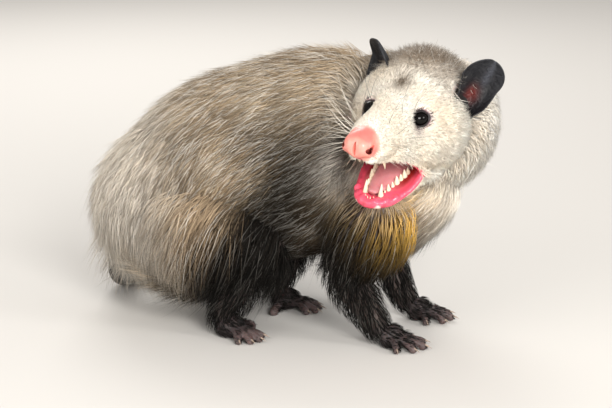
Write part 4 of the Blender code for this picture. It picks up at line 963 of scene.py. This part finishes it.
# Small ivory teeth: incisors, long curved canines, and pointed cheek teeth. A tooth is (x, distance from the
# midline, half width, length), and its root is in the gum.
UPPER_TEETH = [(46.2, 1.2, 0.9, 3.0), (45.4, 3.3, 0.9, 3.0), (43.6, 5.2, 0.9, 2.8), (32.5, 9.8, 2.3, 10.5),
               (28.0, 10.6, 1.1, 2.2), (24.6, 11.2, 1.7, 3.6), (20.6, 11.9, 1.5, 2.8), (16.4, 12.6, 1.9, 3.9),
               (12.2, 13.2, 1.7, 3.0), (8.2, 13.8, 1.9, 3.6), (4.2, 14.2, 1.6, 2.6)]
LOWER_TEETH = [(40.6, 1.0, 0.8, 3.2), (39.4, 3.0, 0.8, 3.0), (34.6, 5.8, 2.3, 8.6), (30.2, 6.8, 1.2, 2.4),
               (26.4, 7.6, 2.0, 4.4), (22.0, 8.5, 1.7, 3.2), (17.6, 9.5, 2.3, 5.0), (13.2, 10.3, 1.9, 3.4),
               (9.0, 11.0, 2.2, 4.4), (5.0, 11.4, 1.8, 2.8)]
UPPER_ROOT = -18.4
LOWER_ROOT = -25.2
ROOT_LENGTH = 2.4
CANINE_LENGTH = 8


def ringed_cone(sides, point, cuts):
    """A cone from a primitive, cut round at some heights so that it can be curved."""
    bpy.ops.object.select_all(action="DESELECT")
    bpy.ops.mesh.primitive_cone_add(vertices=sides, radius1=1, radius2=point, depth=1)
    bpy.ops.object.mode_set(mode="EDIT")
    for height in cuts:
        bpy.ops.mesh.select_all(action="SELECT")
        bpy.ops.mesh.bisect(plane_co=(0, 0, height), plane_no=(0, 0, 1))
    bpy.ops.object.mode_set(mode="OBJECT")
    return bpy.context.object


def tooth(x, off, half, length, root, direction, place):
    """A cone widened at the gum, curved backwards and pointed. Canines are round and curve the most."""
    made = ringed_cone(12, 0.12, (-0.2, 0.12))
    canine = length > CANINE_LENGTH
    stretch = 1.0 if canine else 1.15
    curve = 3.6 if canine else 0.5
    for vertex in made.data.vertices:
        t = vertex.co.z + 0.5
        swell = 1 + 0.35 * math.sin(math.pi * min(t * 1.2, 1))
        vertex.co.x = vertex.co.x * half * swell * stretch - curve * t * t
        vertex.co.y = vertex.co.y * half * swell * 0.85
        vertex.co.z = direction * (t * (length + ROOT_LENGTH) - ROOT_LENGTH)
    made.data.transform(in_scene(place) @ Matrix.Translation((x, off, root)))
    return made


def hard_piece(name, bodies):
    """Many small hard bodies as one smooth object with its faces outwards."""
    made = joined(name, bodies)
    bpy.ops.object.mode_set(mode="EDIT")
    bpy.ops.mesh.select_all(action="SELECT")
    bpy.ops.mesh.normals_make_consistent(inside=False)
    bpy.ops.object.mode_set(mode="OBJECT")
    smooth(made)
    return made


crowns = []
for side in SIDES.values():
    for x, off, half, length in UPPER_TEETH:
        crowns.append(tooth(x, side * off, half, length, UPPER_ROOT, -1, HEAD))
    for x, off, half, length in LOWER_TEETH:
        crowns.append(tooth(x, side * off, half, length, LOWER_ROOT, 1, JAW))
teeth = hard_piece("teeth", crowns)
ivory, tree, surface = material("ivory", {"Roughness": 0.25})
feed(surface, {"Base Color": cloudy_colour(tree, 400.0, 3.0, (0.72, 0.58, 0.36), (0.86, 0.80, 0.66))})
teeth.data.materials.append(ivory)
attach(teeth, "root")

# The ears are thin, bare, cupped leaves of black skin with a creased inside, reddish where the light comes
# through near the root. The creases are painted darker in their folds and lighter on their ridges as shade
# and highlight, and a pale bluish streak inside is a painted highlight. Each is rooted in the head behind and
# above the eye.
EAR_LENGTH = 39
EAR_HALF_WIDTH = 15
EAR_THICKNESS = 1.0
EAR_ROOT = {1: (-40, 30.5, 4), -1: (-40, 27.0, 3)}
EAR_OPENING = {1: 78, -1: 92}
EAR_AXIS = {1: (-0.20, 0.52, 1.0), -1: (0.38, 0.12, 0.92)}
EAR_FACE = (0.80, 0.62, -0.1)
EAR_WIDEST = 0.62
EAR_TINTS = {"root": (0.009, 0.009, 0.011), "tip": (0.018, 0.019, 0.023), "painted_highlight": (0.06, 0.064, 0.08),
             "glow": (0.13, 0.011, 0.006)}
leather, tree, surface = material("ear_leather", {"Roughness": 0.5, "Specular IOR Level": 0.35})
where = node(tree, "ShaderNodeTexCoord", {})["Object"]
tint = node(tree, "ShaderNodeAttribute", {}, attribute_name="tint")["Color"]
crease = node(tree, "ShaderNodeTexNoise",
              {"Vector": where, "Scale": 260.0, "Detail": 6.0, "Distortion": 1.2})["Fac"]
# Painted shade and highlight: the creases darken the colour in their folds and lighten it on their ridges.
colour = node(tree, "ShaderNodeGroup",
              {"Tint": tint, "Pattern": crease, "Darkest": 0.5, "Lightest": 1.7}, node_tree=uneven)["Color"]
bump = node(tree, "ShaderNodeBump", {"Height": crease, "Strength": 0.8, "Distance": 0.0014})["Normal"]
feed(surface, {"Base Color": colour, "Normal": bump})


def ear_leaf(side, t, s):
    """Points of a cupped, creased and ragged ear at shares t of its length and s of its half width."""
    axis = unit(mirrored(EAR_AXIS[side], side))
    facing = mirrored(EAR_FACE, side)
    facing = unit(facing - axis * facing.dot(axis))
    across = np.cross(axis, facing)
    rise = np.maximum(t, 0)
    width = 0.52 + 0.48 * np.sin(np.minimum(rise / EAR_WIDEST, 1) * math.pi / 2)
    width = width * np.sqrt(np.clip(1 - (np.maximum(rise - EAR_WIDEST, 0) / 0.372) ** 2, 0, 1))
    ragged = (s * side < 0) * np.abs(s) * ramp(-rise, -0.75, -0.5)
    nick = 1 - 0.10 * np.exp(-((rise - 0.34) / 0.05) ** 2) * ragged - 0.05 * np.sin(rise * 34 + s) * ragged
    curl = np.radians(128 - EAR_OPENING[side] * np.minimum(rise / 0.5, 1))
    radius = EAR_HALF_WIDTH * width * nick / np.sin(np.minimum(curl, math.pi / 2))
    fold = 0.55 * np.sin(s * 9 + 5 * t) * rise * (1 - rise) * 4 + 0.6 * np.sin(t * 26 + 2 * s) * ragged
    lean = 3.5 * np.sin(rise * math.pi) + fold
    return (mirrored(EAR_ROOT[side], side) + axis * (t * EAR_LENGTH)[..., None]
            + across * (radius * np.sin(curl * s))[..., None]
            + facing * (radius * (1 - np.cos(curl * s)) - lean)[..., None])


for word, side in SIDES.items():
    t, s = np.meshgrid(np.linspace(-0.12, 0.985, 44), np.linspace(-1, 1, 37), indexing="ij")
    corner = np.arange(t.size).reshape(t.shape)
    faces = np.stack([corner[:-1, :-1], corner[:-1, 1:], corner[1:, 1:], corner[1:, :-1]], -1).reshape(-1, 4)
    leaf = placed(ear_leaf(side, t, s).reshape(-1, 3), HEAD)
    mesh = bpy.data.meshes.new("ear_leaf_" + word)
    mesh.from_pydata((leaf + np.array(SHIFT)) * MM, [], faces.tolist())
    ear = linked("ear_leaf_" + word, mesh)
    height = t.ravel()
    inwards = s.ravel() * side
    glow = np.exp(-((height - 0.22) / 0.15) ** 2 - ((inwards - 0.12) / 0.24) ** 2)
    # Painted highlight: a pale bluish streak across the inside of the ear.
    painted_highlight = np.exp(-((inwards - 0.45 + 0.3 * height) / 0.16) ** 2) * ramp(height, 0.35, 0.6)
    shades = blend(np.tile(EAR_TINTS["root"], (t.size, 1)), EAR_TINTS["tip"], ramp(height, 0.4, 1))
    shades = blend(shades, EAR_TINTS["painted_highlight"], 0.6 * painted_highlight)
    shades = blend(shades, EAR_TINTS["glow"], 0.75 * glow)
    keep(mesh, "tint", shades)
    thick = ear.modifiers.new("thick", "SOLIDIFY")
    thick.thickness = EAR_THICKNESS * MM
    thick.offset = 0
    soft = ear.modifiers.new("soft", "SUBSURF")
    soft.levels = 1
    soft.render_levels = 1
    use_modifiers(ear)
    smooth(ear)
    ear.data.materials.append(leather)
    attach(ear, "root")
    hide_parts("ear_" + word)

# Claws are short, pale horn at the tips of the digits. Each is a cone that is laid along its digit and curved
# down to the ground. The thumb of the hind foot has none.
CLAW_LENGTH = 7.0
CLAW_ROOT = 1.5
CLAW_CLEARANCE = 0.15
THUMB_RADIUS = 3.2
horns = []
for name, place, radius in claw_places:
    if name.startswith("hind") and radius > THUMB_RADIUS:
        continue
    claw = ringed_cone(10, 0.08, (-0.15, 0.15))
    for vertex in claw.data.vertices:
        t = vertex.co.z + 0.5
        high = vertex.co.x * 1.2
        wide = vertex.co.y * 0.9
        vertex.co = Vector((t * CLAW_LENGTH - CLAW_ROOT, wide, 1.0 - high + 0.8 * t - 2.6 * t * t))
    claw.data.transform(in_scene(place))
    press_flat(claw, CLAW_CLEARANCE)
    horns.append(claw)
claws = hard_piece("claws", horns)
horn, tree, surface = material("claw_horn", {"Roughness": 0.4})
feed(surface, {"Base Color": cloudy_colour(tree, 500.0, 3.0, (0.20, 0.14, 0.11), (0.46, 0.36, 0.28))})
claws.data.materials.append(horn)
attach(claws, "root")

# The coat is made of tufts: each a thin, three-sided, tapered wisp that leaves the skin, lies over along the
# coat's lie and gathers with its neighbours to a common tip. Woolly tufts are pale with dark tips, and long
# white guard hairs stand out between them.
TUFT_STEPS = (0, 0.5, 1)
TUFT_WIDTHS = np.interp(TUFT_STEPS, (0, 0.3, 0.7, 1), (0.75, 1.0, 0.7, 0.0))
TUFT_ROOT_DEPTH = 0.4
TUFTS_IN_LOCK = 16
GUARD_COLOUR = np.array((0.80, 0.76, 0.69))
DARKEST = 0.004
LIGHTEST = 0.95
UNWRAP_ANGLE = math.radians(66)
UNWRAP_MARGIN = 0.002
TUFT_ON_UNWRAP = 0.003
EYE_CLEARANCE = 8.0
EAR_CUP = (-35, 33, 14)
EAR_CLEARANCE = 10.0
coat_hair, tree, surface = material("coat_hair", {"Roughness": 0.62, "Specular IOR Level": 0.1})
feed(surface, {"Base Color": node(tree, "ShaderNodeAttribute", {}, attribute_name="tint")["Color"]})


def unwrapped(chosen):
    """The triangles of a part of the skin and their places on an unwrap of it."""
    patch_mesh = skin.data.copy()
    patch = linked("patch", patch_mesh)
    work = bmesh.new()
    work.from_mesh(patch_mesh)
    mark = work.verts.layers.int.new("number")
    for vertex in work.verts:
        vertex[mark] = vertex.index
    gone = [face for face in work.faces if not all(chosen[vertex.index] for vertex in face.verts)]
    bmesh.ops.delete(work, geom=gone, context="FACES")
    bmesh.ops.triangulate(work, faces=work.faces)
    work.to_mesh(patch_mesh)
    work.free()
    pick(patch)
    bpy.ops.object.mode_set(mode="EDIT")
    bpy.ops.mesh.select_all(action="SELECT")
    bpy.ops.uv.smart_project(angle_limit=UNWRAP_ANGLE, island_margin=UNWRAP_MARGIN)
    bpy.ops.object.mode_set(mode="OBJECT")
    number = np.empty(len(patch_mesh.vertices), int)
    patch_mesh.attributes["number"].data.foreach_get("value", number)
    tri = np.empty(len(patch_mesh.loops), int)
    patch_mesh.loops.foreach_get("vertex_index", tri)
    uv = np.empty(len(patch_mesh.loops) * 2)
    patch_mesh.uv_layers.active.data.foreach_get("uv", uv)
    bpy.data.objects.remove(patch)
    return number[tri].reshape(-1, 3), uv.reshape(-1, 3, 2)


def rooted(draw, chart, thickness, number):
    """Where tufts stand: each one's triangle, its shares of the corners, and its place on the unwrap."""
    tris, uvs = chart
    a, b, c = (points[tris[:, k]] for k in range(3))
    area = np.linalg.norm(np.cross(b - a, c - a), axis=1) / 2 * thickness[tris].mean(1)
    total = np.cumsum(area)
    spots = (np.arange(number) + draw.uniform(0, 1, number)) / number * total[-1]
    chosen = np.clip(np.searchsorted(total, spots), 0, len(tris) - 1)
    weights = draw.dirichlet((1, 1, 1), number)
    return tris[chosen], weights, (uvs[chosen] * weights[..., None]).sum(1)


def nearest_lock(draw, tip):
    """For each tuft, the tuft at the heart of its lock: one drawn at random whose tip is nearest."""
    number = len(tip)
    hearts = draw.choice(number, max(number // TUFTS_IN_LOCK, 1), replace=False)
    nearest_heart = np.empty(number, int)
    for start in range(0, number, 2000):
        part = slice(start, start + 2000)
        gap = ((tip[part, None] - tip[None, hearts]) ** 2).sum(-1)
        nearest_heart[part] = hearts[np.argmin(gap, axis=1)]
    return nearest_heart


def clear_of_face(root, rows):
    """Which tufts stay out of the skull, the mouth, the eyes and the cups of the ears."""
    clear = np.ones(len(root), bool)
    rooted_on_skull = head_measure(root)[0] < 1.12
    for row in rows:
        clear &= (head_measure(row, 0.5)[0] >= 1) | rooted_on_skull
        clear &= head_measure(row, 1.0, PALATE, HEAD)[0] > 1
        clear &= head_measure(row, 0.5, TROUGH, JAW)[0] > 1
        clear &= near_spots(row, EYE_MIDDLE.values()) > EYE_CLEARANCE
        clear &= near_spots(row, [mirrored(EAR_CUP, side) for side in SIDES.values()]) > EAR_CLEARANCE
    return clear


def tuft_colours(shade, darkness, white_share, lively, tipped, guard, tip_shade):
    """Colours at the root end, halfway and at the tip of each tuft, with painted shade at the root."""
    lively = lively[:, None]
    white_share = white_share[:, None]
    base = shade * (1.0 + lively)
    tips = base * 1.12 * tip_shade
    tips = np.where(tipped[:, None], base * (0.5 + 0.4 * white_share), tips)
    pale = GUARD_COLOUR * (1 - 0.85 * darkness)[:, None]
    tips = np.where(guard[:, None], pale * (1 + lively), tips)
    base = np.where(guard[:, None], base * 0.4 + pale * 0.6, base)
    # Painted shade: each tuft's root end is darkened as if deep in the coat, less so on the white face.
    root_painted_shade = 0.62 + 0.32 * white_share
    lower = [base * (root_painted_shade + (1 - root_painted_shade) * min(step * 2.4, 1)) + (tips - base) * step ** 1.5
             for step in TUFT_STEPS[:-1]]
    return lower + [tips]


def tuft_mesh(name, rows, out, side, thick, colours, root_uv):
    """Three-sided wisps through rows of points, in one mesh, with their colours and places on the unwrap."""
    layers = []
    tints = []
    for row, wide, colour in zip(rows[:-1], TUFT_WIDTHS, colours):
        sideways = side * (thick * wide * 0.5)[:, None]
        up = out * (thick * wide * 0.16)[:, None]
        layers += [row - sideways - up, row + sideways - up, row + up * 1.6]
        tints += [colour] * 3
    verts = np.stack(layers + [rows[-1]], 1)
    tints = np.stack(tints + [colours[-1]], 1).reshape(-1, 3)
    kept, per = verts.shape[:2]
    levels = len(TUFT_STEPS) - 1
    pattern = [(0, 2, 1)]
    for k in range(levels - 1):
        for j in range(3):
            low = 3 * k + j
            next_low = 3 * k + (j + 1) % 3
            pattern += [(low, next_low, next_low + 3), (low, next_low + 3, low + 3)]
    last = 3 * (levels - 1)
    pattern += [(last + j, last + (j + 1) % 3, per - 1) for j in range(3)]
    faces = (np.arange(kept)[:, None, None] * per + np.array(pattern)[None]).reshape(-1, 3)
    mesh = bpy.data.meshes.new(name)
    mesh.vertices.add(kept * per)
    mesh.vertices.foreach_set("co", ((verts.reshape(-1, 3) + np.array(SHIFT)) * MM).ravel())
    mesh.loops.add(len(faces) * 3)
    mesh.loops.foreach_set("vertex_index", faces.ravel())
    mesh.polygons.add(len(faces))
    mesh.polygons.foreach_set("loop_start", np.arange(len(faces)) * 3)
    mesh.polygons.foreach_set("use_smooth", np.ones(len(faces), bool))
    mesh.update()
    keep(mesh, "tint", np.clip(tints, DARKEST, LIGHTEST))
    across_patch = [0.0, 1.0, 0.5] * levels + [0.5]
    along_patch = [*np.repeat(TUFT_STEPS[:-1], 3), 1.0]
    own = np.stack([across_patch, along_patch], 1) * TUFT_ON_UNWRAP
    own = (root_uv[:, None] + own[None]).reshape(-1, 2)
    mesh.uv_layers.new(name="OFBake").data.foreach_set("uv", own[faces.ravel()].ravel())
    return mesh


def grow(name, chart, thickness, number, seed, width, guards=0.25, bend=75.0, pull=0.32, stand=0.1,
         spread=0.18, longer=1.0, tip_shade=1.0):
    """A piece of coat: tufts rooted over a chart of the skin, more of them where the thickness is greater."""
    draw = np.random.default_rng(seed)
    tri, weights, root_uv = rooted(draw, chart, thickness, number)

    def at(values):
        """The skin's values where the tufts stand."""
        return (values[tri] * weights.reshape((number, 3) + (1,) * (values.ndim - 1))).sum(1)

    root = at(points)
    out = unit(at(normals))
    along = unit(at(lie) + draw.normal(0, spread, (number, 3)) * at(ruffle)[:, None])
    along = unit(along - out * (along * out).sum(1)[:, None])
    side = np.cross(along, out)
    guard = draw.uniform(0, 1, number) < guards
    length = at(hair) * longer * draw.uniform(0.7, 1.1, number) * np.where(guard, 1.2, 1.0)
    rise = at(depth) * longer * draw.uniform(0.62, 1.0, number) * np.where(guard, 1.12, 1.0)
    rise = np.minimum(rise, length * 0.9)
    reach = np.sqrt(np.maximum(length ** 2 - rise ** 2, 1.0))
    tip = root + along * reach[:, None] + out * (rise - reach ** 2 / (2 * bend))[:, None]
    lock = nearest_lock(draw, tip)
    gather = (tip[lock] - tip) * pull * np.where(guard, 0.35, 1.0)[:, None]
    wave = draw.uniform(-1, 1, number) * 0.03 * length
    thick = width * draw.uniform(0.75, 1.25, number) * np.where(guard, 0.55, 1.0)
    rows = []
    for step in TUFT_STEPS:
        high = rise * (1 - (1 - step) ** 2) * (1 - stand) + rise * step * stand
        spot = (root - out * TUFT_ROOT_DEPTH + along * (reach * step)[:, None]
                + out * (high - (reach * step) ** 2 / (2 * bend))[:, None]
                + side * (wave * math.sin(3.1 * step))[:, None]
                + gather * step ** 1.7)
        spot[:, 2] -= 0.05 * length * step ** 2
        spot[:, 2] = np.maximum(spot[:, 2], 0.5 + 0.6 * (1 - step))
        rows.append(spot)

    clear = clear_of_face(root, rows[1:])
    rows = [row[clear] for row in rows]
    guard = guard[clear]
    white_share = at(face_share)[clear]
    lock_shade = draw.normal(0, 0.11, number)[lock][clear]
    lively = (draw.normal(0, 0.07, len(guard)) + lock_shade) * (1 - 0.6 * white_share)
    tipped = (draw.uniform(0, 1, len(guard)) < 0.4) & ~guard
    colours = tuft_colours(at(coat_tint)[clear], at(dark)[clear], white_share, lively, tipped, guard,
                           tip_shade)
    mesh = tuft_mesh(name, rows, out[clear], side[clear], thick[clear], colours, root_uv[clear])
    coat_piece = linked(name, mesh)
    coat_piece.data.materials.append(coat_hair)
    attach(coat_piece, "root")


hairy = 1 - np.clip(bare, 0, 1)
on_legs = on_thighs | on_shanks | on_forelegs
on_ends = on_feet | on_tail
belly = 1 - 0.6 * ramp(-normals[:, 2], 0.3, 0.8)
chart = unwrapped(on_torso & (hairy > 0.1))
for k, guards in enumerate((0.1, 0.14, 0.18, 0.4)):
    grow("body_coat_%d" % (k + 1), chart, hairy * on_torso * belly, 19400, 20 + k, 0.68,
         guards=guards)
chart = unwrapped(on_neck & (hairy > 0.1))
grow("neck_coat", chart, hairy * on_neck, 15000, 31, 0.66, guards=0.12, bend=60)
chart = unwrapped(on_legs & (hairy > 0.1))
grow("leg_coat", chart, hairy * on_legs * (1 + on_thighs), 15000, 41, 0.68, guards=0.10, bend=75)
chart = unwrapped(on_head & (hairy > 0.1))
muzzle = 1 + 0.8 * ramp(face_x, -10, 30)
for k in range(2):
    grow("face_coat_%d" % (k + 1), chart, hairy * on_head * muzzle, 16300, 51 + k, 0.46,
         guards=0.08, bend=60, spread=0.2)
grow("crown_coat", chart, hairy * on_head * crown, 4000, 55, 0.40, guards=0.12, bend=90, pull=0.1,
     stand=1.0, spread=0.5, longer=1.3, tip_shade=0.4)
chart = unwrapped(on_ends & (hairy > 0.03))
grow("foot_coat", chart, hairy * on_ends, 6000, 61, 0.5, guards=0.05, bend=40, pull=0.2,
     spread=0.2)

# Whiskers spring from the pads beside the nose, over the eyes and on the cheeks. They are long, stiff and
# tapered. All but a few are pale, and those over the eyes are dark.
BROW_HAIRS = [[(30, 9, -2), (30, 11, 10), (20, 14, 22), (4, 20, 28)],
              [(14, 12, 4), (17, 12, 14), (12, 12, 25), (-4, 10, 34)],
              [(6, 16, 7), (9, 20, 18), (1, 27, 27), (-14, 34, 30)],
              [(26, 10, -6), (33, 18, 0), (32, 25, 8), (24, 31, 14)]]
PAD_FRONT = 42
DARK_SHARE = 0.15
BROW_THICKNESS = 0.5
# By side: how thick a whisker is, how long the front ones are, and how much longer each further back is.
WHISKER_THICKNESS = {1: 0.6, -1: 0.8}
WHISKER_LENGTH = {1: (10, 3), -1: (24, 6)}
WHISKER_TAPER = (0.26, 0.24, 0.18, 0.10, 0.03)
DARK_BRISTLE = (0.03, 0.022, 0.018, 1)
bristle, tree, surface = material("pale_whisker", {"Roughness": 0.35})
dark_here = node(tree, "ShaderNodeAttribute", {}, attribute_name="dark")["Fac"]
pale = cloudy_colour(tree, 60.0, 2.0, (0.66, 0.60, 0.50), (0.88, 0.84, 0.76))
mixed = node(tree, "ShaderNodeMix", {"Factor": dark_here, "A": pale, "B": DARK_BRISTLE}, data_type="RGBA")
feed(surface, {"Base Color": mixed["Result"]})


def whisker_roots(side, draw):
    """The whiskers of one side of the face: place, length, heading and row."""
    roots = []
    shortest, longer = WHISKER_LENGTH[side]
    for row in range(5):
        for k in range(6 if row or side > 0 else 3):
            x = PAD_FRONT - 4.4 * k - 0.8 * row
            y = 8.6 + 0.55 * (PAD_FRONT - x) * 0.42
            z = -4.5 - 2.6 * row
            heading = (0.25 - 0.12 * k, 1.0, 0.55 - 0.24 * row)
            if side > 0:
                heading = (-0.2 - 0.1 * k, 1.0, 0.24 - 0.2 * row)
            roots.append(((x, y, z), shortest + longer * k + 6 * draw.uniform(), heading, row))
    for k in range(4):
        roots.append(((-14 - 3 * k, 31, -14 - 2 * k), 24 + 3 * k, (-0.4, 1.0, -0.1 * k), 3))
    return roots


draw = np.random.default_rng(71)
bristles = []
for side in SIDES.values():
    for start, length, heading, row in whisker_roots(side, draw):
        heading = unit(mirrored(heading, side) + draw.normal(0, 0.12, 3))
        droop = np.array((-0.35, 0, -0.25 if row > 1 else 0.05)) * length
        path = [mirrored(start, side) + heading * length * s + droop * s * s for s in np.linspace(0, 1, 9)]
        bristles.append((path, WHISKER_THICKNESS[side], 1.0 if draw.uniform() < DARK_SHARE else 0.0))
    for arc in BROW_HAIRS:
        bristles.append((mirrored(arc, side), BROW_THICKNESS, 1.0))
wires = []
for path, thick, darkness in bristles:
    wire = cord_of("whisker", path, [thick * share for share in WHISKER_TAPER], HEAD, 5)
    keep(wire.data, "dark", np.full(len(wire.data.vertices), darkness))
    wire.data.materials.append(bristle)
    wires.append(wire)
whiskers = joined("whiskers", wires)
smooth(whiskers)
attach(whiskers, "root")
